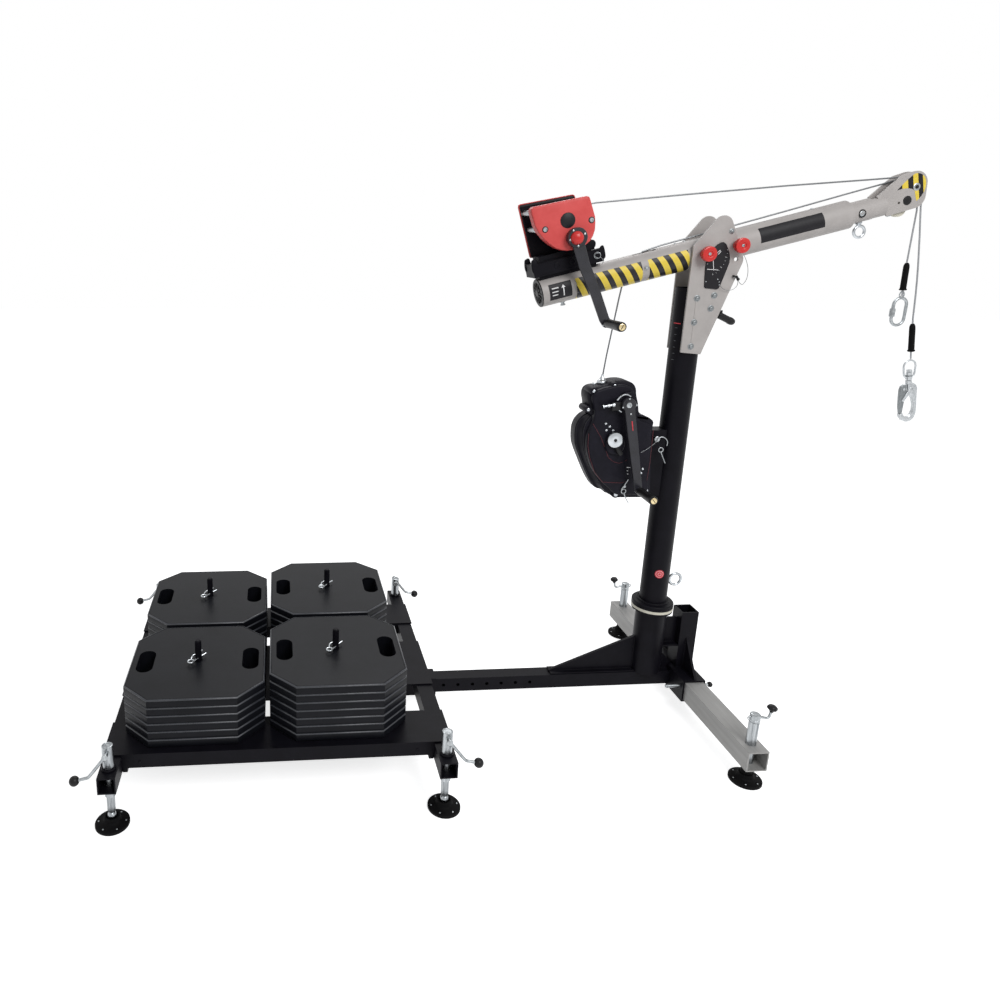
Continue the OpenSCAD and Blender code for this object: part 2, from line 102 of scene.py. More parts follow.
def add(tree, kind, settings=None, **inputs):
    """Adds a node. settings are its properties, inputs its values or the sockets that feed it.

    An input is named by its label, or as _0 for the first one.
    """
    node = tree.nodes.new("ShaderNode" + kind)
    for key, value in (settings or {}).items():
        setattr(node, key, value)
    for key, value in inputs.items():
        socket = node.inputs[int(key[1:])] if key[1:].isdigit() else node.inputs[key.replace("_", " ")]
        if isinstance(value, bpy.types.NodeSocket):
            tree.links.new(value, socket)
        else:
            socket.default_value = value
    return node


def material(name, pattern=None, **shader):
    """A material with one principled shader. pattern(tree) gives the sockets that its nodes feed."""
    mat = bpy.data.materials.new(name)
    mat.use_nodes = True
    tree = mat.node_tree
    tree.nodes.clear()
    fed = pattern(tree) if pattern else {}
    surface = add(tree, "BsdfPrincipled", **shader, **fed)
    add(tree, "OutputMaterial", Surface=surface.outputs[0])
    return mat


def mottled(base, light, patch_mm, rough, grain_mm, depth_mm, stretch=(1, 1, 1)):
    """A finish that drifts between two shades in patches, over a fine grain that its gloss follows.

    rough is the least and greatest roughness, depth_mm the height of the grain, and stretch draws
    the pattern out along an axis.
    """
    def pattern(tree):
        spot = add(tree, "TexCoord").outputs["Object"]
        spot = add(tree, "Mapping", Vector=spot, Scale=stretch).outputs[0]
        patch = add(tree, "TexNoise", Vector=spot, Scale=1 / (patch_mm * MM), Detail=4.0,
                    Roughness=0.6).outputs[0]
        grain = add(tree, "TexNoise", Vector=spot, Scale=1 / (grain_mm * MM), Detail=2.0).outputs[0]
        spread = add(tree, "MapRange", _0=patch, _1=0.3, _2=0.7).outputs[0]
        colour = add(tree, "Mix", {"data_type": "RGBA"}, _0=spread, _6=linear(base),
                     _7=linear(light)).outputs[2]
        gloss = add(tree, "MapRange", _0=grain, _1=0.3, _2=0.7, _3=rough[0], _4=rough[1]).outputs[0]
        bump = add(tree, "Bump", Height=grain, Distance=depth_mm * MM, Strength=1.0).outputs[0]
        return {"Base_Color": colour, "Roughness": gloss, "Normal": bump}
    return pattern


def coat(name, base, light, patch_mm, rough, grain_mm, depth_mm, stretch=(1, 1, 1), **shader):
    """A material with a mottled finish."""
    return material(name, mottled(base, light, patch_mm, rough, grain_mm, depth_mm, stretch), **shader)


def resin(name, base, light, patch_mm, rough, grain_mm, depth_mm, level):
    """Paint, moulded plastic or rubber. level is how strongly it reflects."""
    return coat(name, base, light, patch_mm, rough, grain_mm, depth_mm, IOR=1.5, Specular_IOR_Level=level)


def printed(name, base, light):
    """Printed vinyl film: flat and even, with the slight sheen of its clear coat."""
    return coat(name, base, light, 8, (0.40, 0.50), 0.6, 0.003, IOR=1.46, Specular_IOR_Level=0.25)


# Satin black powder coat on steel: nearly black with a cool cast and a fine orange peel.
POWDER_BLACK = resin("satin black powder coat", "#0D0C11", "#141319", 60, (0.36, 0.46), 1.6, 0.012, 0.08)
# The plates' thicker coat is smoother, so their tops mirror what stands on them.
PLATE_BLACK = resin("black enamelled plate steel", "#0F1014", "#16171C", 90, (0.30, 0.40), 3.0, 0.006, 0.11)
# Warm grey powder coat: even, dull, with the same orange peel.
POWDER_GREY = resin("warm grey powder coat", "#ACA7A4", "#B7B2AF", 50, (0.42, 0.52), 1.6, 0.012, 0.35)
# Satin anodised aluminium tube: drawn along its length, so its grain runs in long streaks.
DRAWN = (1, 0.04, 1)
ANODISED = coat("satin anodised aluminium", "#9A9997", "#AAA9A7", 8, (0.36, 0.50), 1.2, 0.006, DRAWN,
                Metallic=0.2, Specular_IOR_Level=0.3)
# Bright zinc plate: pale blue-grey metal with cloudy patches from the bath.
ZINC = coat("bright zinc plate", "#888C8F", "#B2B6B8", 7, (0.22, 0.38), 1.5, 0.008, Metallic=1.0)
# A forged hook tumbled after plating: pale grey metal with a soft, even shine.
BRIGHT_FORGED = coat("tumbled zinc plated forging", "#A9ADB0", "#CFD2D4", 6, (0.24, 0.36), 1.0, 0.004,
                     Metallic=0.7, Specular_IOR_Level=0.4)
# The plates' rounded edges are smoother than their faces and painted lighter as a highlight, so each shows a
# thin line of painted light.
PLATE_EDGE_HIGHLIGHT = resin("black enamel edge with painted highlight", "#303237", "#43454B", 60, (0.24, 0.34), 2.0, 0.006, 0.45)
# Drawn steel tube with bright zinc on it, with long light and dark streaks painted along it as the
# reflections of a round tube.
TUBE_ZINC_PAINTED_REFLECTIONS = coat("zinc plated tube with painted reflection streaks", "#6C7073", "#BCC0C3", 5, (0.22, 0.36), 1.2, 0.004,
                 (1, 1, 0.05), Metallic=1.0)
# The hook's gate and collar: zinc dulled by use.
GATE_ZINC = coat("dull zinc plate", "#74787A", "#8E9294", 5, (0.35, 0.50), 1.2, 0.012, Metallic=1.0)
# Polished chrome: a clean mirror with barely any haze.
CHROME = coat("polished chrome plate", "#A2A6AA", "#C0C4C7", 30, (0.08, 0.14), 4.0, 0.001, Metallic=1.0)
# Brass turned on a lathe: yellow, with fine tool marks.
BRASS = coat("turned brass", "#C4B083", "#DCCDA6", 5, (0.22, 0.34), 0.8, 0.006, Metallic=1.0)
# Red powder coat on the winch's covers: bright, softly glossy.
POWDER_RED = resin("signal red powder coat", "#D24B49", "#DE5856", 40, (0.36, 0.44), 1.6, 0.010, 0.3)
# Moulded red nylon knobs: deeper red with a gloss.
RED_NYLON = coat("moulded red nylon", "#CB2624", "#D8332F", 20, (0.22, 0.32), 1.0, 0.004, IOR=1.53,
                 Specular_IOR_Level=0.35)
# Gloss paint over forged steel: a crank arm that hands keep smooth, so it shines more than the coat.
CRANK_BLACK = resin("gloss black painted steel", "#1D1D22", "#292930", 30, (0.26, 0.34), 1.2, 0.004, 0.4)
# Cast aluminium case under a fine black texture paint, which scatters light so that it looks charcoal.
CASE_BLACK = resin("black textured cast case", "#111018", "#1A1922", 30, (0.40, 0.52), 0.9, 0.03, 0.11)
# Moulded black ABS: darker than the paint, with a fine spark-eroded grain.
ABS_BLACK = resin("moulded black ABS", "#0E0E10", "#161618", 25, (0.34, 0.44), 0.7, 0.010, 0.25)
# Moulded rubber: dull, slightly brown black.
RUBBER = resin("moulded black rubber", "#09090A", "#0F0E0F", 12, (0.60, 0.72), 0.6, 0.02, 0.08)
# Cast natural nylon: cream, waxy.
NYLON = coat("cast natural nylon", "#D6D1BF", "#E3DFD0", 20, (0.40, 0.50), 1.0, 0.006, IOR=1.53)
# Prints on vinyl film: each is a flat colour, barely mottled.
VINYL = printed("black printed vinyl", "#141317", "#1C1B1F")
PRINT = printed("white print", "#E4E4E4", "#F0F0F0")
STICKER = printed("red printed vinyl", "#D2404A", "#DE5058")
YELLOW_VINYL = printed("yellow printed vinyl", "#E6C944", "#F2D95E")
GREY_PRINT = printed("grey print", "#55555A", "#68686C")
FAINT_RED = printed("faint red print", "#5A2A30", "#653238")
# Thin stainless wire strand: grey with a soft shine.
GREY_WIRE = coat("stainless wire strand", "#606264", "#828486", 2, (0.30, 0.42), 0.8, 0.02,
                 Metallic=0.5, Specular_IOR_Level=0.3)

# Hazard tape: the length of a yellow and a black band together, and the patches that wear leaves.
BAND_PAIR_MM, BAND_SLANT, YELLOW_SHARE, WEAR_MM = 37, 0.42, 0.52, 6.25


def striped(tree):
    """Yellow and black bands of hazard tape, slanting round the tube."""
    laid = add(tree, "UVMap", {"uv_map": "laid"}).outputs[0]
    xy = add(tree, "SeparateXYZ", Vector=laid)
    slant = add(tree, "Math", {"operation": "MULTIPLY"}, _0=xy.outputs[1], _1=BAND_SLANT).outputs[0]
    run = add(tree, "Math", {"operation": "ADD"}, _0=xy.outputs[0], _1=slant).outputs[0]
    turn = add(tree, "Math", {"operation": "DIVIDE"}, _0=run, _1=BAND_PAIR_MM * MM).outputs[0]
    band = add(tree, "Math", {"operation": "FRACT"}, _0=turn).outputs[0]
    dark = add(tree, "Math", {"operation": "GREATER_THAN"}, _0=band, _1=YELLOW_SHARE).outputs[0]
    worn = add(tree, "TexNoise", Vector=laid, Scale=1 / (WEAR_MM * MM), Detail=3.0).outputs[0]
    yellow = add(tree, "Mix", {"data_type": "RGBA"}, _0=worn, _6=linear("#E6C944"),
                 _7=linear("#F2D95E")).outputs[2]
    colour = add(tree, "Mix", {"data_type": "RGBA"}, _0=dark, _6=yellow, _7=linear("#1F1E24")).outputs[2]
    gloss = add(tree, "MapRange", _0=worn, _3=0.30, _4=0.42).outputs[0]
    return {"Base_Color": colour, "Roughness": gloss}


HAZARD = material("yellow and black hazard tape", striped, IOR=1.46, Specular_IOR_Level=0.3)


# The rope's strands, the length in which a strand goes once round, the rope's girth and the strands' rise.
STRANDS, LAY_MM, GIRTH_MM, RISE_MM = 6, 32, 15.7, 0.4


def stranded(tree):
    """Strands laid round a 5 mm rope: a painted highlight on their crowns and painted shade between them."""
    laid = add(tree, "UVMap", {"uv_map": "laid"}).outputs[0]
    xy = add(tree, "SeparateXYZ", Vector=laid)
    length = add(tree, "Math", {"operation": "MULTIPLY"}, _0=xy.outputs[0],
                 _1=STRANDS / (LAY_MM * MM)).outputs[0]
    girth = add(tree, "Math", {"operation": "MULTIPLY"}, _0=xy.outputs[1],
                _1=STRANDS / (GIRTH_MM * MM)).outputs[0]
    turn = add(tree, "Math", {"operation": "ADD"}, _0=length, _1=girth).outputs[0]
    round_off = add(tree, "Math", {"operation": "PINGPONG"}, _0=turn, _1=0.5).outputs[0]
    crown = add(tree, "MapRange", _0=round_off, _1=0.0, _2=0.3).outputs[0]
    # The strands' colour: painted highlight on the crowns, painted shade in the grooves between them.
    colour = add(tree, "Mix", {"data_type": "RGBA"}, _0=crown, _6=linear("#55565A"),
                 _7=linear("#A7A9AC")).outputs[2]
    bump = add(tree, "Bump", Height=crown, Distance=RISE_MM * MM, Strength=1.0).outputs[0]
    return {"Base_Color": colour, "Normal": bump}


WIRE_ROPE = material("galvanised wire rope", stranded, Metallic=0.8, Roughness=0.42)


# ---------------------------------------------------------------- drawing
SHARP = radians(36)


def girth_of(ring):
    """The length of a closed ring of points."""
    return sum((Vector(ring[i]) - Vector(ring[i - 1])).length for i in range(len(ring)))


class Shape:
    """A mesh being drawn in millimetres in a local frame. paint is the number of the material in use."""

    def __init__(self, place=MAST):
        self.place = place
        self.paint = 0
        self.mesh = bmesh.new()
        self.laid = self.mesh.loops.layers.uv.new("laid")

    def skin(self, rings, loop=False, caps=True):
        """Joins rings of equally many points, and closes the two ends. laid runs along, then round."""
        made = [[self.mesh.verts.new(p) for p in ring] for ring in rings]
        run = [0.0]
        for a, b in zip(rings, rings[1:] + rings[:1]):
            run.append(run[-1] + (Vector(b[0]) - Vector(a[0])).length)
        girth = [0.0]
        widest = max(rings, key=girth_of)
        for a, b in zip(widest, widest[1:] + widest[:1]):
            girth.append(girth[-1] + (Vector(b) - Vector(a)).length)
        count = len(made[0])
        for k in range(len(made) if loop else len(made) - 1):
            near, far = made[k], made[(k + 1) % len(made)]
            for i in range(count):
                j = (i + 1) % count
                face = self.mesh.faces.new((near[i], near[j], far[j], far[i]))
                face.material_index = self.paint
                corners = ((k, i), (k, i + 1), (k + 1, i + 1), (k + 1, i))
                for loop_, (r, g) in zip(face.loops, corners):
                    loop_[self.laid].uv = (run[r] * MM, girth[g] * MM)
        if caps and not loop:
            for end in (made[0], made[-1]):
                self.mesh.faces.new(end).material_index = self.paint

    def lathe(self, at, axis, profile, sides=32, start=0.0):
        """Turns (radius, height) points round an axis through at."""
        turn = Vector(axis).to_track_quat("Z", "Y")
        rings = []
        angles = [start + tau * i / sides for i in range(sides)]
        for radius, height in profile:
            points = [(radius * cos(a), radius * sin(a), height) for a in angles]
            rings.append([Vector(at) + turn @ Vector(p) for p in points])
        self.skin(rings)

    def rod(self, a, b, d, sides=24, edge=0.6):
        """A round bar with its ends' edges broken."""
        a, b = Vector(a), Vector(b)
        length, r = (b - a).length, d / 2
        self.lathe(a, b - a, [(r - edge, 0), (r, edge), (r, length - edge), (r - edge, length)], sides)

    def ball(self, at, d, sides=24):
        """A ball with small flats at its poles."""
        steps = [radians(4 + 172 * k / (sides // 2)) for k in range(sides // 2 + 1)]
        self.lathe(at, (0, 0, 1), [(d / 2 * sin(a), -d / 2 * cos(a)) for a in steps], sides)

    def sweep(self, points, d, sides=10, loop=False):
        """A round bar along a line of points."""
        points = [Vector(p) for p in points]
        n = len(points)
        side, rings = None, []
        for i, p in enumerate(points):
            ahead = points[(i + 1) % n] if loop or i < n - 1 else p
            behind = points[i - 1] if loop or i > 0 else p
            forward = (ahead - behind).normalized()
            if side is None:
                side = forward.cross(Vector((0, 1, 0)) if abs(forward.y) < 0.9 else Vector((1, 0, 0)))
            side = (side - forward * side.dot(forward)).normalized()
            other = forward.cross(side)
            angles = [tau * k / sides for k in range(sides)]
            rings.append([p + d / 2 * (cos(a) * side + sin(a) * other) for a in angles])
        self.skin(rings, loop)

    def ring(self, at, axis, radius, d, steps=32, sides=10):
        """A round bar bent into a closed ring."""
        turn = Vector(axis).to_track_quat("Z", "Y")
        angles = [tau * k / steps for k in range(steps)]
        circle = [Vector((radius * cos(a), radius * sin(a), 0)) for a in angles]
        self.sweep([Vector(at) + turn @ p for p in circle], d, sides, loop=True)

    def slab(self, outline, y0, y1, edge=1.0, turn=None):
        """A flat plate with rounded edges: an XZ outline between two Y values. turn moves its points."""
        rings = []
        rounding = [(edge * (1 - sin(a)), edge * (1 - cos(a))) for a in (0, pi / 6, pi / 3, pi / 2)]
        for inward, depth in rounding:
            rings.append(across(inset(outline, inward), y0 + depth))
        for inward, depth in reversed(rounding):
            rings.append(across(inset(outline, inward), y1 - depth))
        if turn:
            rings = [[turn(Vector(p)) for p in ring] for ring in rings]
        self.skin(rings)

    def block(self, low, high, edge=1.0):
        """A block between two corners, with rounded edges."""
        (x0, y0, z0), (x1, y1, z1) = low, high
        self.slab([(x0, z0), (x1, z0), (x1, z1), (x0, z1)], y0, y1, edge)

    def hexagon(self, at, axis, flats, height, start=0.0):
        """A hexagon head or nut with its corners turned off. flats is its width over flats."""
        r = flats / 2 / cos(pi / 6)
        self.lathe(at, axis, [(r, 0), (r, height * 0.82), (r - 1.0, height)], 6, start)

    def object(self, name, finishes):
        """Turns the drawing into an object."""
        bmesh.ops.recalc_face_normals(self.mesh, faces=self.mesh.faces)
        bmesh.ops.transform(self.mesh, matrix=self.place, verts=self.mesh.verts)
        for face in self.mesh.faces:
            face.smooth = True
        for edge in self.mesh.edges:
            edge.smooth = len(edge.link_faces) == 2 and edge.calc_face_angle(0) < SHARP
        data = bpy.data.meshes.new(name)
        self.mesh.to_mesh(data)
        self.mesh.free()
        for finish in finishes if isinstance(finishes, (list, tuple)) else [finishes]:
            data.materials.append(finish)
        piece = bpy.data.objects.new(name, data)
        bpy.context.scene.collection.objects.link(piece)
        return piece

    def done(self, name, body, finishes, slot, stands_for=(), holes=None):
        """Makes the piece, takes the holes' solids out of it and lets it ride on a body."""
        piece = self.object(name, finishes)
        if holes:
            drilled(piece, holes)
        if stands_for:
            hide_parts(*stands_for)
        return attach(piece, body)


def drilled(piece, holes):
    """Takes the solids of another drawing out of a piece."""
    tool = holes.object(piece.name + "_holes", POWDER_BLACK)
    cut = piece.modifiers.new("holes", "BOOLEAN")
    cut.object = tool
    cut.solver = "EXACT"
    bpy.context.view_layer.update()
    data = bpy.data.meshes.new_from_object(piece.evaluated_get(bpy.context.evaluated_depsgraph_get()))
    piece.modifiers.clear()
    piece.data = data
    data.set_sharp_from_angle(angle=SHARP)
    bpy.data.objects.remove(tool)


def inset(outline, distance):
    """An outline moved inwards, corner by corner."""
    if distance <= 0:
        return list(outline)
    n = len(outline)
    area = sum(outline[i - 1][0] * outline[i][1] - outline[i][0] * outline[i - 1][1] for i in range(n))
    sign = 1 if area > 0 else -1
    moved = []
    for i in range(n):
        p, q, r = (Vector(outline[k % n]) for k in (i - 1, i, i + 1))
        a, b = (q - p).normalized(), (r - q).normalized()
        na, nb = Vector((-a.y, a.x)) * sign, Vector((-b.y, b.x)) * sign
        corner = (na + nb) / max(0.35, 1 + na.dot(nb))
        moved.append(tuple(q + corner * distance))
    return moved


def arc(centre, radius, start, end, steps=8):
    """Points of an arc between two angles in degrees."""
    angles = [radians(start + (end - start) * k / steps) for k in range(steps + 1)]
    return [(centre[0] + radius * cos(a), centre[1] + radius * sin(a)) for a in angles]


def across(outline, y):
    """The points of an XZ outline, all at one Y."""
    return [(x, y, z) for x, z in outline]


def smooth(points, per=6):
    """A rounded line through the points."""
    pts = [Vector(p) for p in points]
    line = []
    for i in range(len(pts) - 1):
        a, b, c, d = pts[max(i - 1, 0)], pts[i], pts[i + 1], pts[min(i + 2, len(pts) - 1)]
        for k in range(per):
            t = k / per
            bend, twist = 2 * a - 5 * b + 4 * c - d, 3 * b - a - 3 * c + d
            line.append((2 * b + (c - a) * t + bend * t ** 2 + twist * t ** 3) / 2)
    return line + [pts[-1]]


def bent(shape, outline, y, d, sides, per=4):
    """A round bar bent smoothly through the points of an XZ outline."""
    shape.sweep(smooth(across(outline, y), per), d, sides)


NEAR, FAR = Vector((0, -1, 0)), Vector((0, 1, 0))
UP, DOWN = Vector((0, 0, 1)), Vector((0, 0, -1))

# ---------------------------------------------------------------- hanging lines
HEAD = local(JOINTS["sheave_spin"]["pos_m"])
SHEAVE_R = 32
WIRE = 5
# Distance out from the sheave's edge and distance below its axle, down to each line's fitting.
HOOK_ROUTE = [(0, 0), (2, 28), (5, 58), (12, 100), (20, 145), (27, 190), (34, 235), (40, 280), (45, 325),
              (49, 368), (52, 405), (55, 424), (55, 426), (60, 460), (65, 490), (68, 512),
              (68, 514), (70, 525), (72, 537)]
LINK_ROUTE = [(0, 0), (2, 22), (5, 45), (8, 70), (8, 95), (8, 120), (8, 145), (8, 170), (8, 195), (8, 215),
              (8, 232), (9, 234), (10, 260), (11, 290), (12, 316), (12, 318), (13, 327), (13, 335)]
HOOK_Y, LINK_Y = -8, 8


def hang(route, y):
    """A route's points in the mast's frame."""
    return [Vector((HEAD.x + SHEAVE_R + out, y, HEAD.z - down)) for out, down in route]


def hanging_line(name, body, route, y, sleeve_ends, node):
    """One wire rope with the moulded sleeve over its end splice."""
    points = hang(route, y)
    rope = Shape()
    rope.sweep(points, WIRE, 12)
    rope = rope.done(name, body, WIRE_ROPE, "wire_rope", [node])
    top, bottom = (points[i] for i in sleeve_ends)
    lean = (bottom - top).normalized()
    length = (bottom - top).length
    profile = [(3.4, -4), (5.4, -3), (7.8, 3), (8.6, 9), (8.8, length - 12), (8.8, length - 5)]
    profile += [(10.6, length - 4), (10.8, length - 1), (9.4, length + 0.4), (4.0, length + 0.6)]
    sleeve = Shape()
    sleeve.lathe(top, lean, profile, 28)
    for k in range(4):
        sleeve.ring(top + lean * (16 + 3.4 * k), lean, 8.5, 1.2, 28, 6)
    sleeve = sleeve.done(name + "_sleeve", body, RUBBER, "pad_rubber")


def thimble(shape, x, y, top, drop, eye=7):
    """The grooved teardrop of metal that the rope's end loops round."""
    loop = [(x - 3, top)] + arc((x, top - drop), eye, 165, 375, 12) + [(x + 3, top)]
    shape.sweep(across(loop, y), 4, 10)


def snap_hook():
    """The hook on the nearer line: an oval bail, its swivel, and a forged hook with its gate."""
    x, z = hang(HOOK_ROUTE, HOOK_Y)[-1].x + 3, HEAD.z - 573.8
    place = MAST @ Matrix.Translation((x, HOOK_Y, z)) @ Matrix.Rotation(radians(-7.5), 4, "Y")
    hook = Shape(place)
    bail = arc((0, 12), 20.5, 0, 180, 12) + arc((0, -9), 19, 180, 360, 12)
    hook.sweep(across(bail, 0), 6, 12, loop=True)
    hook.lathe((0, 0, 0), UP, [(6, -47), (9.4, -46), (9.5, -36), (5, -35), (5, -33), (9.2, -32),
                               (9.4, -21), (7, -19)], 28)
    hook.lathe((0, 0, 0), UP, [(5, -20), (8.6, -19.5), (8.8, -8), (6.5, -6), (4, -5.6)], 24)
    hook.hexagon((0, 0, -6), UP, 15, 7)
    outer = [(14, -45), (23, -52), (28, -64), (27.5, -90), (28.6, -120),
             (28.5, -148), (22, -166), (10, -175)]
    outer += [(-4, -176), (-18, -169), (-27, -156), (-28.5, -147)]
    inner = [(-18, -143), (-14, -153), (-5, -160), (4, -159), (12, -153), (18, -140), (19, -122), (14, -100)]
    crown = [(8, -86), (1, -80), (-4, -66), (-7, -46)]
    hook.slab(outer + inner + crown, -7, 7, 2.6)
    hook.rod((-19, -8, -62), (-19, 8, -62), 8, 16)
    hook.rod((9, -8.4, -64), (9, 8.4, -64), 6, 16)
    hook.slab([(-26, -100), (-19, -106), (9, -70), (11, -60), (4, -56)], -8.4, 8.4, 1.4)
    hook.paint = 1
    gate = [(-30, -64), (-26, -52), (-17, -47), (-10, -50), (-9, -66), (-12, -92), (-16, -118),
            (-19, -141), (-27, -145)]
    hook.slab(gate + [(-30.5, -122), (-31, -90)], -5.5, 5.5, 2)
    hook.lathe((0, 0, 0), UP, [(4, -20.4), (9.9, -20), (9.9, -17), (4, -16.6)], 24)
    return hook.done("forged_snap_hook", "hook_line_body", [BRIGHT_FORGED, GATE_ZINC],
                     "zinc_steel", ["snap_hook"])


def screw_link():
    """The oval link on the farther line, closed by a hexagonal sleeve nut."""
    x, y, z = hang(LINK_ROUTE, LINK_Y)[-1].x - 1, LINK_Y, HEAD.z - 384.8
    link = Shape()
    oval = arc((x, z + 22), 22, 0, 180, 12) + arc((x, z - 22), 22, 180, 360, 12)
    link.sweep(across(oval, y), 9.5, 14, loop=True)
    link.hexagon((x - 22, y, z - 16), UP, 15, 26)
    for k in range(4):
        link.ring((x - 22, y, z + 12.4 + k * 2.2), UP, 4.6, 1.2, 20, 6)
    thimble(link, x, y, z + 66, 12, 8)
    return link.done("oval_screw_link", "link_line_body", ZINC, "zinc_steel", ["oval_link"])


hanging_line("hook_wire", "hook_line_body", HOOK_ROUTE, HOOK_Y, (12, 15), "hook_line")
snap_hook()
hanging_line("link_wire", "link_line_body", LINK_ROUTE, LINK_Y, (11, 14), "link_line")
screw_link()


def button_bolt(shape, at, axis, d, washer=True):
    """A domed socket-head bolt, with its washer."""
    at, axis = Vector(at), Vector(axis)
    base = 1.4 if washer else 0.0
    if washer:
        shape.lathe(at, axis, [(0.72 * d, 0), (0.74 * d, 0.3), (0.74 * d, base - 0.3), (0.70 * d, base)], 28)
    dome = [(0.50, 0), (0.52, 0.06), (0.47, 0.20), (0.38, 0.30), (0.27, 0.36), (0.20, 0.37), (0.17, 0.34)]
    shape.lathe(at + axis * base, axis, [(r * d, h * d) for r, h in dome], 24)


def weld(shape, points, d=4.5):
    """A weld bead: a round fillet laid along its points."""
    shape.sweep(smooth(points, 4), d, 8)


# ---------------------------------------------------------------- weights: rods and their clips
PLATE_T, DECK_Z = 25.5, 184
# Each stack's distance from the mast and its number of plates.
STACKS = {"outer": (-1542, 6), "inner": (-1122, 7)}
STACK_Y = 214


def rod_clip(name, x, y, z):
    """A hairpin clip through a rod: a straight leg, a sprung eye and a waved leg."""
    clip = Shape(MAST @ Matrix.Translation((x, y, z)) @ Matrix.Rotation(radians(50), 4, "Z"))
    eye = [(-32 - 9 * cos(a), 9 * sin(a), 0) for a in (radians(k) for k in range(-100, 240, 20))]
    clip.sweep([(28, -4, 0), (0, -4, 0), (-26, -6, 0)] + eye[1:], 5.2, 10)
    wave = [(-26, 6, 0), (-15, 13, 1), (-5, 17, 1), (4, 15, 1), (12, 17, 1), (20, 12, 1),
            (28, 15, 0), (34, 20, 0)]
    clip.sweep(smooth(wave, 3), 5.2, 10)
    return clip.done(name, "tray", CHROME, "zinc_steel")


for place, (x, count) in STACKS.items():
    for side, sign in (("near", -1), ("far", 1)):
        rod_clip(side + "_" + place + "_rod_clip", x, sign * STACK_Y, DECK_Z + PLATE_T * count + 10)
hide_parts("rod_clips")


def plate_rims():
    """The rounded edge that stands 3 mm round each weight plate, with a groove between plates, and a lip
    near each plate's top painted lighter as a highlight.
    """
    half, cut = 203, 76.3
    flat = half - cut
    octagon = [(-half, -flat), (-flat, -half), (flat, -half), (half, -flat),
               (half, flat), (flat, half), (-flat, half), (-half, flat)]
    section = [(5, 0.4), (2, 0.6), (0.6, 2.4), (0.2, 5), (0.2, 20), (0.6, 22.4), (2, 24.2), (5, 25.7)]
    lip = [(2.4, 21.6), (0.3, 21.2), (0, 22.2), (0.7, 24), (2.2, 25.2), (3.8, 25.8), (4.4, 25.2)]
    rims = Shape()
    for x, count in STACKS.values():
        for y in (-STACK_Y, STACK_Y):
            for k in range(count):
                base = DECK_Z + PLATE_T * k
                # The section takes the plates' black; the lip takes the lighter edge finish, a painted
                # highlight.
                for rims.paint, profile in enumerate((section, lip)):
                    rings = []
                    for inward, z in profile:
                        rings.append([(x + u, y + v, base + z) for u, v in inset(octagon, inward)])
                    rims.skin(rings, loop=True)
    rims.done("plate_rims", "tray", [PLATE_BLACK, PLATE_EDGE_HIGHLIGHT], "black_paint")


plate_rims()

# ---------------------------------------------------------------- feet, jacks and their handles
# Where the jacks stand: the rear ones by place along the beam and across it, then the front ones.
SIDE_X = {"outer": -1764, "inner": -825}
JACK_Y, FRONT_X, FRONT_Y = 489, 121, 438


def foot(side, place, x, y, body, sleeve_top):
    """A jack's foot: drilled rubber pad, socket, ball and the sleeve over its screw."""
    place_it = MAST @ Matrix.Translation((x, y, 0))
    profile = [(46.4, 0), (47.5, 1.2), (47.5, 7.6), (46.2, 9), (44, 9.8), (34, 11.6), (27, 13.4), (23.5, 16)]
    profile += [(22, 20), (22, 26), (21, 28), (17, 28.4), (15.5, 26), (15, 20)]
    pad, holes = Shape(place_it), Shape(place_it)
    pad.lathe((0, 0, 0), UP, profile, 48)
    circle = [(37.5 * cos(k * pi / 3), 37.5 * sin(k * pi / 3)) for k in range(6)]
    for u, v in circle:
        holes.rod((u, v, -2), (u, v, 16), 8, 16)
    if place == "front":
        pad.lathe((0, 0, 0), UP, [(13, 22), (16.4, 28), (16.8, 32), (15.4, 34.4), (16.4, 37), (15, 41),
                                  (12, 43), (11.5, 43.6)], 28)
    name = side + "_" + place
    pad.done(name + "_pad", body, RUBBER, "pad_rubber", [name + "_foot"], holes)
    stem = Shape(place_it)
    stem.ball((0, 0, 31), 24)
    for u, v in circle:
        stem.lathe((u, v, 0), UP, [(2.6, 1), (2.8, 10.6), (1.4, 11.6)], 12)
    barrel = [(7, 40), (8, 44), (10.6, 45), (11.4, 47), (11.4, sleeve_top - 2),
              (10.6, sleeve_top - 0.5), (8, sleeve_top)]
    stem.lathe((0, 0, 0), UP, barrel + [(8, 188), (7, 189)], 28)
    # The screw's sleeve takes the zinc whose light and dark streaks are painted reflections.
    stem.done(name + "_screw", body, TUBE_ZINC_PAINTED_REFLECTIONS, "zinc_steel")


def rear_handle(side, place):
    """A rear jack's folded handle, its pin and the nut on the far end of the pin."""
    s = -1 if side == "near" else 1
    t = -s if place == "outer" else s
    turn = Matrix.Rotation(pi if place == "outer" else 0, 4, "Z")
    handle = Shape(MAST @ Matrix.Translation((SIDE_X[place], s * JACK_Y, 0)) @ turn)
    handle.rod((0, t * 15.4, 238), (0, t * 33, 238), 12, 20)
    bend = [(0, 238), (22, 210), (42, 184), (50, 176), (60, 173), (80, 168)]
    bent(handle, bend, t * 29, 9, 12)
    handle.lathe((0, t * 32, 238), (0, t, 0), [(9, 0), (9, 1.6), (8, 2.4), (4, 2.6)], 20)
    handle.paint = 1
    handle.ball((86, t * 29, 167), 28, 28)
    handle.lathe((74, t * 29, 169.8), (0.97, 0, -0.23), [(5, 0), (6.6, 1), (7.4, 4)], 20)
    name = side + "_" + place + "_handle"
    return handle.done(name + "_bar", name + "_body", [ZINC, ABS_BLACK], "zinc_steel", [name])


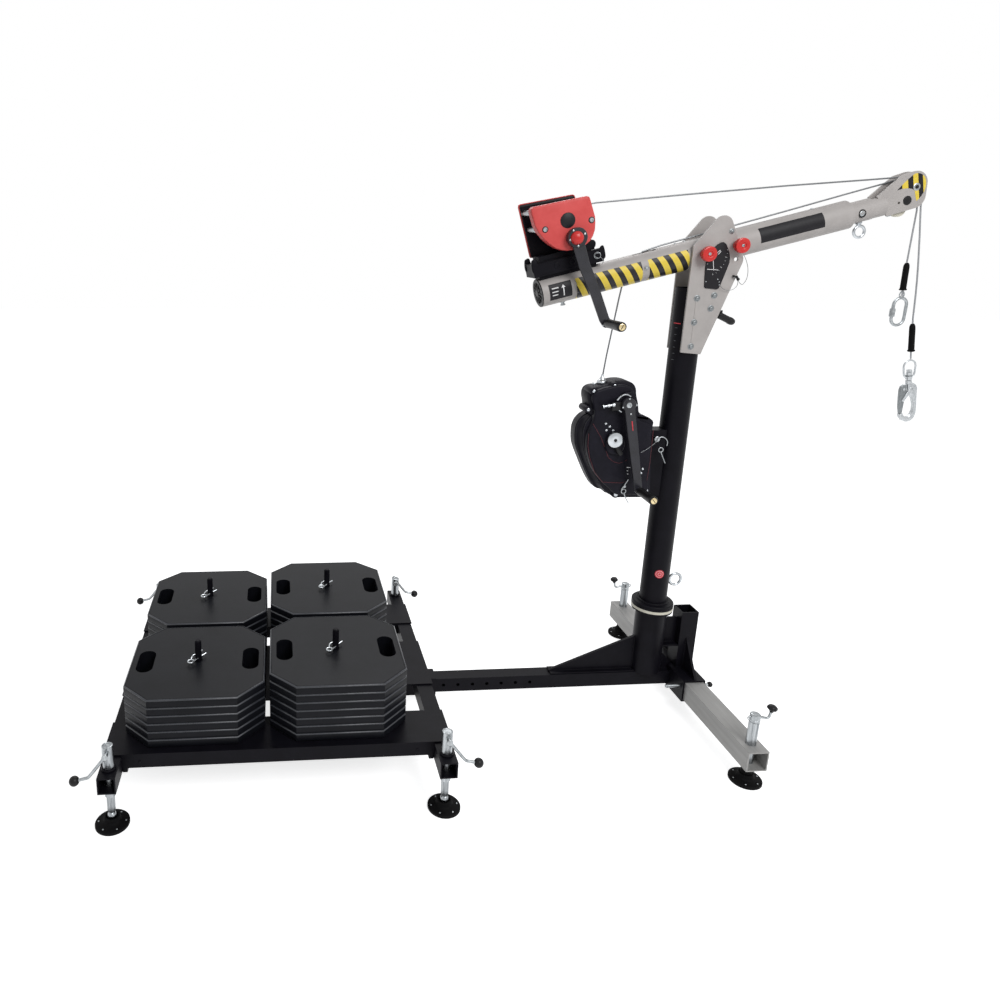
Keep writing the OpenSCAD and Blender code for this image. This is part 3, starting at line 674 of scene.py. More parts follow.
def rear_jack(side, place):
    """The fixed sleeve of a rear jack: rolled lip, black foot collar, nut and ring."""
    t = -1 if side == "near" else 1
    x, y = SIDE_X[place], t * JACK_Y
    jack = Shape(MAST @ Matrix.Translation((x, y, 0)))
    jack.lathe((0, 0, 0), UP, [(10.4, 249), (10.8, 252), (12, 253.4), (13.6, 253),
                               (14.9, 251), (15, 248)], 36)
    jack.lathe((0, t * 14.2, 238), (0, t, 0), [(9, 0), (9, 1.6), (8, 2)], 20)
    jack.hexagon((0, -t * 14, 238), (0, -t, 0), 17, 8)
    jack.paint = 1
    jack.lathe((0, 0, 0), UP, [(15.1, 179.2), (19.5, 179.2), (20, 180), (20, 183.4),
                               (18.5, 185.6), (15.1, 186)], 36)
    jack.lathe((0, 0, 0), UP, [(11.6, 122.6), (17, 122.4), (18, 124.5), (18, 129), (11.6, 129)], 36)
    jack.ring((0, -t * 15, 238), (0, 1, 0), 11, 2.6, 28, 8)
    jack.done(side + "_" + place + "_jack_fittings", "tray", [ZINC, POWDER_BLACK], "zinc_steel")


def front_crank(side):
    """A front jack's turning head with its bent arm and mushroom knob."""
    s = -1 if side == "near" else 1
    turn = Matrix.Rotation(0 if s < 0 else pi, 4, "Z")
    head = Shape(MAST @ Matrix.Translation((FRONT_X, s * FRONT_Y, 0)) @ turn)
    head.lathe((0, 0, 0), UP, [(14, 205.4), (15, 206.4), (15, 226), (14, 229.4),
                               (11.6, 231), (5, 231.2)], 36)
    head.lathe((0, 0, 0), UP, [(15.01, 211), (15.5, 211.6), (15.5, 212.6), (15.01, 213.2)], 36)
    arm = [(12, 218), (25, 216.5), (37, 214), (43.5, 217), (46, 225), (48, 236)]
    bent(head, arm, 0, 8, 12)
    head.ring((-18.5, -3, 218), (0.3, 1, 0), 5.6, 3.2, 24, 8)
    head.lathe((-14.5, 0, 218), (-1, 0, 0), [(6, -1), (6, 1.6), (4, 2.4)], 16)
    head.paint = 1
    knob = [(5, 0), (6, 1), (6.4, 4), (10, 7), (14.2, 10), (15, 14), (13.6, 18),
            (10, 21.4), (5, 23), (1.5, 23.3)]
    head.lathe((48.5, 0, 234), (0.12, 0, 1), knob, 8, 0.2)
    name = side + "_front_crank"
    return head.done(name + "_arm", name + "_body", [ZINC, ABS_BLACK], "zinc_steel", [name])


for side, s in (("near", -1), ("far", 1)):
    foot(side, "front", FRONT_X, s * FRONT_Y, side + "_front_foot_body", 62)
    front_crank(side)
    for place, x in SIDE_X.items():
        foot(side, place, x, s * JACK_Y, side + "_" + place + "_foot_body", 122)
        rear_handle(side, place)
        rear_jack(side, place)

# ---------------------------------------------------------------- tray and base details
# The height of the top of the sleeve that the outriggers slide in.
SLEEVE_TOP = 134.5


def tray_lugs():
    """Corner lugs under the front and back cross tubes, and their screw heads."""
    lugs = Shape()
    for x0, x1 in ((-1738.8, -1725), (-864, -850.2)):
        for y0, y1 in ((-441, -421), (380, 400)):
            lugs.block((x0, y0, 126), (x1, y1, 142), 2)
    for x in (-1690, -900):
        button_bolt(lugs, (x, -441, 160), NEAR, 7, False)
    lugs.done("tray_corner_lugs", "tray", POWDER_BLACK, "black_paint")


def base_welds():
    """The web plate between the socket and the upright, and the weld beads where the steelwork meets."""
    beads = Shape()
    web = [(50, 214), (99, 214), (99, 312), (94, 316), (56, 316), (50, 312)]
    over = SLEEVE_TOP + 1
    for y in (-5.6, 5.6):
        weld(beads, [(x, y, 124) for x in (-350, -200, -54)])
        weld(beads, [(-50.6, y, 125), (-51, y, 180), (-50.6, y, 244)])
    beads.slab(web, -4.4, 4.4, 1)
    for y in (-5.6, 5.6):
        weld(beads, [(51.6, y, z) for z in (226, 268, 306)])
        weld(beads, [(x, y, 223.4) for x in (53, 76, 97)])
        weld(beads, [(51.6, y, 122), (51.6, y, 150), (51.8, y, 174)])
        weld(beads, [(x, y, 119) for x in (53, 68, 81)])
    for s in (-1, 1):
        weld(beads, [(x, s * 31, over) for x in (98, 128, 158)])
        weld(beads, [(123, s * 31, z) for z in (140, 190, 244)])
        weld(beads, [(123, s * y, over) for y in (34, 70, 108)])
    beads.ring((0, 0, 352.6), UP, 51.8, 4.5, 48, 8)
    beads.done("weld_beads", "base", POWDER_BLACK, "black_paint")


def leg_pins():
    """The sprung pins that lock the outriggers: plated rod, barrel and ball knob."""
    pins = Shape()
    for s in (-1, 1):
        y, z = s * 98, 106
        pins.lathe((30, y, z), (1, 0, 0), [(4.4, 0), (6, 2), (6, 50), (6, 51.8)], 24)
        pins.lathe((34, y, z), (1, 0, 0), [(6, 0), (7.2, 0.6), (7.2, 3.4), (6, 4)], 24)
        pins.lathe((160.2, y, z), (1, 0, 0), [(8, 0), (8, 11), (7.2, 12), (4.5, 12), (4.5, 22)], 24)
        pins.paint = 1
        pins.ball((190, y, z), 19, 24)
        pins.paint = 0
    pins.done("leg_lock_rods", "base", [ZINC, ABS_BLACK], "zinc_steel", ["leg_lock_pins"])


tray_lugs()
base_welds()
leg_pins()

# ---------------------------------------------------------------- mast: collar, bolts, dial and knobs
PIVOT_Z = local(JOINTS["boom_tilt"]["pos_m"]).z
PIVOT = Vector((0, 0, PIVOT_Z))
MAST_R, CHEEK_Y = 44.5, 53
# Centres of the cheek bolts, and the locking pin, which stands LOCK_REACH along the boom from the pivot.
BOLTS = ((48, 1435), (42, 1395), (-6, 1426), (-6, 1352), (-7, 1277))
LOCK_REACH = 104
LOCK = Vector((LOCK_REACH * cos(TILT), 0, PIVOT_Z + LOCK_REACH * sin(TILT)))


def collar():
    """The turning collar: a broad flange with a groove, a hub and the bead round the mast."""
    ring = Shape()
    z = 369
    flange = [(45, 0), (67, 0), (68, 1.2), (68, 8), (66.8, 8.8), (68, 9.8),
              (68, 14.5), (65.5, 17), (55, 17.2)]
    hub = [(53, 17.6), (52.6, 20), (51.4, 21.8), (50, 21.9), (48.5, 20.4), (45.6, 21.6), (44.6, 21.2)]
    ring.lathe((0, 0, z), UP, flange + hub, 64)
    return ring.done("turning_collar", "mast", POWDER_BLACK, "black_paint", ["mast_collar"])


def cheek_bolts():
    """Domed bolts through the two cheek plates, the cheek's ribs, and the eye low on the mast."""
    bolts = Shape()
    for x, z in BOLTS:
        button_bolt(bolts, (x, -CHEEK_Y, z), NEAR, 13.5)
        button_bolt(bolts, (x, CHEEK_Y, z), FAR, 13.5)
    button_bolt(bolts, (77, -CHEEK_Y, 1627), NEAR, 11)
    side = 0.3
    for z in (813, 911):
        button_bolt(bolts, (MAST_R * cos(side), MAST_R * sin(side), z), (cos(side), sin(side), 0), 11)
    bolts.done("cheek_bolts", "mast", GATE_ZINC, "zinc_steel")
    eye = Shape()
    eye.ring((72, 0, 460), (0, 1, 0), 20.5, 10, 40, 16)
    eye.lathe((44.2, 0, 460), (1, 0, 0), [(11, 0), (11, 2), (9.6, 3.4), (7.4, 4.4), (6.6, 7)], 28)
    eye.done("mast_eye", "mast", CHROME, "zinc_steel", ["mast_fittings"])
    ribs = Shape()
    for high, low in ((1417, 1362), (1342, 1288)):
        ribs.block((-9, -CHEEK_Y - 1.2, low), (-3.5, -CHEEK_Y + 1, high), 1.1)
    ribs.done("cheek_ribs", "mast", POWDER_GREY, "grey_paint")


# The angle plate's printed strokes, from end to end.
DIAL_MARKS = (((36, 1561), (47, 1571)), ((42, 1558), (50, 1568)), ((29, 1539), (34, 1510)),
              ((13, 1514), (48, 1512)))


def stroke(shape, a, b, wide, y, depth=0.5):
    """A flat printed or raised stroke between two points of a plane that faces the near side."""
    a, b = Vector(a), Vector(b)
    way = (b - a).normalized() * wide / 2
    side = Vector((-way.y, way.x))
    shape.slab([tuple(p) for p in (a - side, b - side, b + side, a + side)], y, y + depth, 0.1)


def dial():
    """The angle plate: a black printed plate with its white marks and rivets."""
    plate = Shape()
    edge = [(28, 1579), (37, 1588), (47, 1594), (56, 1594.6), (64, 1589), (71, 1577), (78, 1562), (81, 1549),
            (81.6, 1534), (76, 1514), (69, 1490), (62, 1466), (58, 1457), (53, 1453.6), (16, 1457),
            (11.4, 1461), (9, 1490), (7, 1520), (10, 1560)]
    plate.slab(edge, -56, -CHEEK_Y, 0.6)
    plate.paint = 1
    for a, b in DIAL_MARKS:
        stroke(plate, a, b, 1.8, -56.3)
    for k in range(9):
        way = Vector((cos(radians(-62 + 9 * k)), sin(radians(-62 + 9 * k))))
        inner = 66 if k % 3 == 0 else 69
        stroke(plate, Vector((0, PIVOT_Z)) + way * inner, Vector((0, PIVOT_Z)) + way * 72, 0.8, -56.2)
    plate.paint = 2
    for x, z in ((12, 1530), (14, 1477), (51, 1484), (56, 1476), (58, 1467)):
        button_bolt(plate, (x, -56, z), NEAR, 3.6, False)
    return plate.done("angle_plate", "mast", [VINYL, PRINT, ZINC], "black_plastic", ["angle_dial"])


def fluted(shape, at, profile, flutes=14, depth=0.7, sides=84):
    """A turned knob towards the near side, whose widest rings are scalloped."""
    wide = max(r for r, h in profile) * 0.97
    rings = []
    for r, h in profile:
        steps = [tau * i / sides for i in range(sides)]
        bite = depth if r > wide else 0
        radii = [r - bite * (0.5 + 0.5 * cos(flutes * a)) for a in steps]
        rings.append([Vector(at) + Vector((q * cos(a), -h, q * sin(a))) for q, a in zip(radii, steps)])
    shape.skin(rings)


def lock_knobs():
    """The pivot's and the locking pin's red knobs, each with its bolt."""
    knobs = Shape()
    rim = [(12, 64), (15, 64.6), (16.5, 66), (17, 69), (19.5, 70), (22.4, 71), (23, 72.4), (23, 82.6)]
    rim += [(22.2, 84.4), (20, 85.6), (12, 86), (9.5, 85), (9, 83.4), (1.5, 83.2)]
    for centre in (PIVOT, LOCK):
        fluted(knobs, centre, rim)
        fluted(knobs, centre, [(14, 56.6), (16.4, 57.2), (16.4, 64.5), (15, 65)], 12, 0.5, 60)
    knobs.paint = 1
    for centre in (PIVOT, LOCK):
        knobs.lathe((centre.x, -83, centre.z), NEAR,
                    [(4.6, 0), (4.8, 1.6), (4, 2.6), (2.4, 2.9), (2.2, 1)], 20)
        knobs.rod((centre.x, -54, centre.z), (centre.x, -45, centre.z), 11.6, 24)
    knobs.rod((0, -52, PIVOT_Z), (0, 54, PIVOT_Z), 15.8, 28)
    knobs.hexagon((0, 53.2, PIVOT_Z), FAR, 24, 11)
    return knobs.done("red_lock_knobs", "mast", [RED_NYLON, ZINC], "red_plastic", ["lock_knobs"])


def head_lever():
    """The release lever between the cheeks: stub, collar and ribbed grip."""
    lever = Shape()
    lever.rod((70, -47, 1376), (70, 47, 1376), 13.6, 24)
    lever.rod((70, 20, 1376), (114, 20, 1367), 11.8, 20)
    root, end = Vector((112, 20, 1369)), Vector((160, 20, 1347))
    neck = [(6, 0), (11.6, 0.6), (12, 2), (12, 5), (10.6, 6)]
    grip = [(10.4 + 0.8 * (k % 2), 8 + 3 * k) for k in range(11)]
    tip = [(11.9, 43), (12, 49), (11.2, 55), (9, 60), (5.5, 63), (1.5, 64)]
    lever.lathe(root, (end - root).normalized(), neck + grip + tip, 28)
    lever.block((112, 14, 1374), (124, 26, 1383), 2)
    return lever.done("release_lever", "mast", ABS_BLACK, "black_plastic", ["head_lever"])


def on_mast(angle, z, lift):
    """A point over the mast's skin at an angle from the beam's direction."""
    return ((MAST_R + lift) * cos(angle), (MAST_R + lift) * sin(angle), z)


def mast_disc(shape, angle, z, radius, lift):
    """A thin round label laid on the mast."""
    turns = [tau * k / 36 for k in range(36)]
    rings = []
    for part, depth in ((1.0, -0.3), (1.0, lift), (0.4, lift), (0.05, lift)):
        r = radius * part
        rings.append([on_mast(angle + r * cos(t) / MAST_R, z + r * sin(t), depth) for t in turns])
    shape.skin(rings)


def mast_marks():
    """A plain round label low on the mast, and the height marks beside the cheek."""
    marks = Shape()
    for radius, lift, paint in ((15, 0.25, 0), (12, 0.4, 1), (11, 0.55, 0), (5.6, 0.7, 1), (4.6, 0.85, 0)):
        marks.paint = paint
        mast_disc(marks, radians(-103), 500, radius, lift)
    for k, z in enumerate((1345, 1331, 1310, 1290, 1270, 1250, 1230)):
        marks.paint = 0 if k == 0 else 2
        half = (13 if k == 0 else 4) / MAST_R
        sweep_in = [radians(-158) - half + 2 * half * i / 6 for i in range(7)]
        high = 1.6 if k == 0 else 0.9
        section = ((-0.2, -high), (0.3, -high), (0.3, high), (-0.2, high))
        marks.skin([[on_mast(a, z + h, d) for d, h in section] for a in sweep_in])
    return marks.done("mast_marks", "mast", [STICKER, PRINT, GREY_PRINT], "red_plastic")


# Routes of the two keeper wires beside the cheek.
LANYARDS = ([(121, 1558), (131, 1542), (139, 1522), (142, 1504), (141, 1488), (136, 1476), (129, 1469),
             (120, 1474), (113, 1484)],
            [(59, 1465), (67, 1457), (76, 1453), (88, 1451.6), (98, 1453), (107, 1458), (113, 1466),
             (114, 1476), (112, 1484)])


def lanyards():
    """The thin wires that keep the locking pin, and the cleat that they are crimped in."""
    wires = Shape()
    for run in LANYARDS:
        bent(wires, run, -60, 1.6, 8)
    wires.sweep([(113, -60, 1484), (104, -60, 1489), (98, -57, 1492)], 1.6, 8)
    wires.done("lock_pin_lanyards", "mast", GREY_WIRE, "wire_rope")
    cleat = Shape()
    cleat.lathe((106, -60, 1495), (0.6, 0, -0.8),
                [(2, 0), (3.6, 0.6), (3.8, 4), (3.4, 10), (4.6, 11), (4.6, 15), (3, 16)], 16)
    cleat.rod((100, -53, 1494), (100, -61, 1494), 6, 16)
    cleat.done("lanyard_cleat", "mast", ABS_BLACK, "black_plastic")


collar()
cheek_bolts()
dial()
lock_knobs()
head_lever()
mast_marks()
lanyards()

# ---------------------------------------------------------------- retrieval unit on the mast
# Outlines of the retrieval unit: the drum housing's back and rim, the cap over it and the raised cover.
DRUM_BACK = [(-84, 775), (-84, 885), (-92, 1000), (-94, 1036), (-140, 1055), (-200, 1062), (-260, 1060),
             (-300, 1052), (-322, 1033), (-331, 1012), (-333, 992), (-329, 951), (-310, 906), (-276, 838),
             (-248, 800), (-222, 792), (-196, 776)]
DRUM_RIM = [(-84, 775), (-84, 885), (-92, 1000), (-94, 1036), (-140, 1056), (-200, 1062), (-255, 1062),
            (-288, 1058), (-310, 1034), (-318, 1008), (-319, 990), (-314, 953), (-295, 899), (-262, 846),
            (-238, 808), (-213, 788), (-186, 776)]
CAP = [(-104, 1040), (-138, 1056), (-147, 1090), (-156, 1118), (-160, 1140), (-172, 1157), (-195, 1166),
       (-222, 1167), (-246, 1162), (-256, 1153), (-270, 1149), (-290, 1147), (-305, 1143), (-315, 1132),
       (-317, 1114), (-312, 1094), (-308, 1072), (-298, 1054), (-250, 1045)]
COVER = [(-98, 790), (-98, 885), (-103, 1000), (-106, 1024), (-148, 1044), (-158, 1062), (-164, 1096),
         (-170, 1124), (-182, 1144), (-204, 1155), (-228, 1156), (-260, 1149), (-288, 1141), (-303, 1132),
         (-309, 1116), (-303, 1092), (-296, 1066), (-299, 1040), (-309, 1010), (-314, 985), (-311, 950),
         (-300, 914), (-284, 880), (-255, 842), (-222, 812), (-190, 790)]
FACE_Y = -58
# The case's corner screws and the two feet by which it is pinned to the bracket.
CASE_SCREWS = ((-316, 1076), (-303, 1135), (-237, 1152))
CASE_FEET = ((-193, 788), (-92, 800))


def rounded(outline, per=4):
    """A closed outline with its corners eased into curves."""
    pts = [Vector((x, 0, z)) for x, z in outline]
    count = len(pts)
    loop = smooth([pts[-2], pts[-1]] + pts + [pts[0], pts[1]], per)[2 * per:-2 * per]
    return [(p.x, p.z) for p in loop[:count * per]]


def retrieval_case():
    """The retrieval unit's cast case: drum housing, raised front cover and corner bosses."""
    case = Shape()
    back, rim = rounded(DRUM_BACK, 3), rounded(DRUM_RIM, 3)
    waist = [((a + c) / 2, (b + d) / 2) for (a, b), (c, d) in zip(back, rim)]
    steps = [(41.8, inset(back, 7)), (40, inset(back, 2)), (36, back), (2, back),
             (0, inset(back, 2.5)), (-5, inset(back, 2.5))]
    steps += [(-7, waist), (-20, rim), (-24, rim), (-25.5, inset(rim, 2)), (-31, inset(rim, 2)),
              (-32.5, rim), (-37, rim), (-39, inset(rim, 4))]
    case.skin([across(outline, y) for y, outline in steps])
    cap = rounded(CAP, 3)
    steps = [(23.8, inset(cap, 7)), (22, inset(cap, 2)), (17, cap), (-34, cap),
             (-38, inset(cap, 2)), (-40, inset(cap, 6))]
    case.skin([across(outline, y) for y, outline in steps])
    case.slab(rounded(COVER, 3), FACE_Y, -30, 7)
    for (x, z), r in zip(CASE_SCREWS, (11, 13, 12)):
        case.lathe((x, 4, z), NEAR, [(r - 1, 0), (r, 2), (r + 0.6, 34), (r, 48),
                                     (r - 1.5, 53), (r - 4, 54)], 28)
    case.slab([(-222, 1121), (-208, 1134), (-186, 1136), (-170, 1120), (-168, 1092), (-184, 1074),
               (-212, 1072), (-232, 1086), (-234, 1106)], -68, FACE_Y + 1, 3)
    case.lathe((-222, FACE_Y, 962), NEAR, [(34, -1), (33, 4), (29, 8), (26, 9), (20, 9)], 40)
    for x, z in CASE_FEET:
        case.lathe((x, -38, z), NEAR, [(13, -2), (12, 4), (10, 5), (7, 5)], 24)
    panel = [(-299, 1030), (-268, 984), (-237, 919), (-202, 901), (-176, 911), (-168, 840), (-190, 834),
             (-249, 838), (-279, 872), (-300, 922), (-309, 960), (-311, 1005), (-306, 1026)]
    case.slab(rounded(inset(panel, 3), 3), FACE_Y - 1.2, FACE_Y + 1, 1)
    case.done("retrieval_case", "mast", CASE_BLACK, "black_plastic", ["srl_body"])


def retrieval_fittings():
    """Screws, knob, shift lever and cable ferrule of the retrieval unit."""
    bright = Shape()
    for x, z in CASE_SCREWS:
        bright.lathe((x, -49.8, z), NEAR, [(5, 0), (5.2, 1.6), (4, 2.4), (2.4, 2.5), (2.2, 1)], 20)
    for x, z in ((-258, 1032), (-244, 1022), (-254, 1010), (-232, 1009), (-168, 1010),
                 (-120, 880), (-124, 866)):
        button_bolt(bright, (x, FACE_Y, z), NEAR, 8.5, False)
    for x, z in CASE_FEET:
        bright.lathe((x, -42.8, z), NEAR, [(6.8, 0), (6.8, 0.6), (6, 0.9), (1, 0.9)], 20)
    knob = [(15, 0), (24, 0.6), (25, 2), (25, 10), (24, 12), (18, 13), (8, 13.4),
            (5.4, 13), (5, 11.4), (1.6, 11.2)]
    bright.lathe((-230, FACE_Y - 8, 982), NEAR, knob, 48)
    hook = [(-238, 1112), (-230, 1122), (-218, 1129), (-206, 1129), (-196, 1123)]
    bent(bright, hook, -79, 5, 10)
    way = Vector((42, 0, 7)).normalized()
    stem = [(6.8, 0), (7, 3), (5.6, 5), (3.6, 6), (3.6, 14), (5.6, 15), (6, 22), (4, 24),
            (4, 30), (6.6, 31), (6.6, 38)]
    bright.lathe((-282, -76, 1091), way, stem + [(4, 40), (4, 46)], 24)
    bent(bright, [(-236, 1090), (-228, 1080), (-220, 1074)], -77, 5, 10)
    ferrule = [(13, 1146), (15.4, 1150), (15.8, 1156), (13.6, 1161), (9, 1164),
               (7.6, 1168), (5, 1172), (3.2, 1181)]
    bright.lathe((-259, 0, 0), UP, ferrule, 28)
    bright.lathe((-284, 0, 0), UP, [(6, 1144), (7, 1150), (5.6, 1153), (2, 1153.6)], 20)
    bright.done("retrieval_fittings", "mast", CHROME, "zinc_steel")
    dark = Shape()
    dark.lathe((-230, FACE_Y - 8 - 13.2, 982), NEAR, [(4.4, -2), (4.4, 1.2), (2, 1.4)], 20)
    lever = smooth([(-222, -70, 962), (-216, -72, 948), (-205, -72, 934)], 3)
    dark.sweep(lever, 16, 14)
    dark.block((-252, -80, 1078), (-222, -70, 1106), 4)
    dark.done("retrieval_shift_lever", "mast", ABS_BLACK, "black_plastic")


def retrieval_print():
    """The faint lines printed round the cover's panels, and plain bars where a label would be."""
    lines = Shape()
    for run in (((-300, 1032), (-269, 986), (-238, 919), (-220, 905), (-202, 900), (-188, 904), (-176, 911)),
                ((-311, 1000), (-310, 960), (-301, 922), (-280, 871), (-250, 837), (-190, 833), (-166, 839)),
                ((-99, 1010), (-98, 903), (-101, 840))):
        for a, b in zip(run, run[1:]):
            stroke(lines, a, b, 1.2, FACE_Y - 0.6)
    lines.paint = 1
    for k, wide in enumerate((24, 18, 20)):
        stroke(lines, (-186, 886 - 11 * k), (-186 + wide, 885 - 11 * k), 2.4, FACE_Y - 0.6)
    lines.done("retrieval_print", "mast", [FAINT_RED, PRINT], "red_plastic")


def spring_clip(name, leg, eye, tail, y):
    """A hairpin clip that keeps a quick-release pin."""
    clip = Shape()
    bent(clip, leg, y, 3.2, 8, 3)
    clip.ring((eye[0], y, eye[1]), (0, 1, 0), 7.5, 3.2, 24, 8)
    bent(clip, tail, y - 1, 3.2, 8, 3)
    clip.done(name, "mast", ZINC, "zinc_steel")


def quick_pins():
    """The two pins that hold the retrieval unit on its bracket, with their clips and keeper wire."""
    pins = Shape()
    pins.rod((-76, -46, 976), (-76, 46, 976), 11, 20)
    pins.rod((-176, -64, 822), (-176, -34, 822), 9, 20)
    pins.lathe((-76, -44, 976), NEAR, [(9, 0), (9, 3), (7, 4)], 20)
    pins.done("quick_pins", "mast", ZINC, "zinc_steel")
    lower_leg = [(-166, 846), (-176, 828), (-186, 812)]
    spring_clip("lower_pin_clip", lower_leg, (-178, 806), [(-176, 798), (-168, 782), (-157, 764)], -62)
    upper_leg = [(-78, 974), (-66, 984), (-52, 980), (-43, 968), (-44, 954)]
    spring_clip("upper_pin_clip", upper_leg, (-62, 941), [(-62, 934), (-52, 914), (-43, 896)], -50)
    wire = Shape()
    wire.sweep(smooth([(-76, -49, 972), (-92, -54, 960), (-112, -60, 948), (-134, -62, 936)], 4), 1.8, 8)
    wire.done("pin_keeper_wire", "mast", GREY_WIRE, "wire_rope")


def round_nose(path):
    """Adds half-round ends to the path of a flat bar, whose stations are (x, y, z, width)."""
    def nose(end, before):
        middle, way = Vector(end[:3]), (Vector(end[:3]) - Vector(before[:3]))
        way = Vector((way.x, 0, way.z)).normalized()
        steps = [radians(a) for a in (88, 75, 60, 45, 30, 15)]
        return [tuple(middle + way * end[3] / 2 * sin(a)) + (end[3] * cos(a),) for a in steps]
    return nose(path[0], path[1]) + list(path) + nose(path[-1], path[-2])[::-1]


def flat_bar(shape, path, thick, edge=1.2):
    """A flat bar of the given thickness with rounded ends, bent along its path."""
    stations = round_nose(path)
    rings = []
    for i, (x, y, z, wide) in enumerate(stations):
        a, b = Vector(stations[max(i - 1, 0)][:3]), Vector(stations[min(i + 1, len(stations) - 1)][:3])
        way = Vector((b.x - a.x, 0, b.z - a.z)).normalized()
        side = Vector((-way.z, 0, way.x))
        half, e = wide / 2, min(edge, wide / 4)
        section = ((-half, e), (-half + e, 0), (half - e, 0), (half, e),
                   (half, thick - e), (half - e, thick))
        section += ((-half + e, thick), (-half, thick - e))
        rings.append([Vector((x, y, z)) + side * u + Vector((0, v, 0)) for u, v in section])
    shape.skin(rings)


def crank_grip(name, body, place, near, far, slot_angle):
    """A crank's turning grip: a waisted black sleeve with a slotted brass screw in its end, whose slot is a
    near-black bar of painted shade.
    """
    grip = Shape(place)
    long = far - near
    sleeve = [(9, 0), (12.6, 0.6), (13.8, 2.4), (14.6, 8), (14.2, 26), (13.2, long - 16), (14, long - 4),
              (12.8, long - 0.6), (7, long)]
    grip.lathe((0, near, 0), FAR, sleeve, 32)
    grip.paint = 1
    grip.lathe((0, near + 0.2, 0), NEAR, [(9.6, -1), (9.6, 0.4), (8.4, 1), (5, 1.1), (1.5, 1.1)], 28)
    # The screw's slot is a near-black bar laid on its face: painted shade where the recess would be.
    grip.paint = 2
    turn = Matrix.Rotation(slot_angle, 4, "Y")
    grip.slab([(-7.6, -1), (7.6, -1), (7.6, 1), (-7.6, 1)], near - 1.3, near - 0.4, 0.2, lambda p: turn @ p)
    return grip.done(name + "_sleeve", body, [ABS_BLACK, BRASS, RUBBER], "black_plastic", [name])


CASE_HUB = local(JOINTS["srl_crank_turn"]["pos_m"])
CASE_GRIP = local(JOINTS["srl_grip_spin"]["pos_m"])


def retrieval_crank():
    """The retrieval unit's crank: hub plate with its screws, tapered arm and red mark."""
    hub, end = CASE_HUB, CASE_GRIP
    arm = Shape()
    arm.lathe((hub.x, -42, hub.z), NEAR, [(7, 0), (7, 32), (20, 33), (22, 35), (22, 47),
                                          (20.6, 49), (9, 49.6)], 36)
    path = [(hub.x, -93, hub.z, 34), (hub.x + 6, -93.6, hub.z - 30, 32), (hub.x + 18, -95, hub.z - 90, 31)]
    path += [(hub.x + 38, -98, hub.z - 190, 28), (end.x, -102, end.z, 24)]
    flat_bar(arm, path, 10, 1.6)
    arm.rod((end.x, -110, end.z), (end.x, -92, end.z), 20, 24)
    arm.rod((end.x, -198, end.z), (end.x, -96, end.z), 9.6, 16)
    arm.paint = 1
    arm.lathe((hub.x - 3, -93, hub.z + 1), NEAR,
              [(8.6, 0), (8.8, 2.4), (7.6, 3.6), (4.2, 4), (3.9, 2.2)], 24)
    for x, z in ((-3, 21), (-22, -6), (6, -27), (22, 1)):
        arm.lathe((hub.x + x, -92.6, hub.z + z), NEAR, [(2.6, 0), (2.7, 1.2), (1.8, 1.7)], 14)
    arm.paint = 2
    stroke(arm, (hub.x + 11, hub.z - 50), (hub.x + 17, hub.z - 80), 3, -95.6, 3)
    arm.done("retrieval_crank_arm", "srl_crank_body", [CRANK_BLACK, ZINC, STICKER],
             "black_paint", ["srl_crank"])
    crank_grip("srl_grip", "srl_grip_body", MAST @ Matrix.Translation((end.x, 0, end.z)),
               -203, -112, radians(50))


retrieval_case()
retrieval_fittings()
retrieval_print()
quick_pins()
retrieval_crank()

# ---------------------------------------------------------------- boom: tape, panels and fittings
BOOM_R, HEAD_Y = 44, 21


def on_boom(s, r, lift=0.0):
    """A point over the near side of the boom, at a distance along it and a height square to it."""
    return Vector((s, -(BOOM_R ** 2 - r ** 2) ** 0.5 - lift, r))


def wrap(shape, s0, s1, low, high, lift=0.4, steps=18):
    """A sheet laid round the boom's near side between two angles, in degrees above level."""
    angles = [radians(low + (high - low) * k / steps) for k in range(steps + 1)]
    rings = []
    for s in (s0, s1):
        outside = [(s, -(BOOM_R + lift) * cos(a), (BOOM_R + lift) * sin(a)) for a in angles]
        inside = [(s, -(BOOM_R - 0.4) * cos(a), (BOOM_R - 0.4) * sin(a)) for a in reversed(angles)]
        rings.append(outside + inside)
    shape.skin(rings)


def level(r):
    """The angle on the boom's side of a height square to it."""
    return degrees(asin(r / BOOM_R))


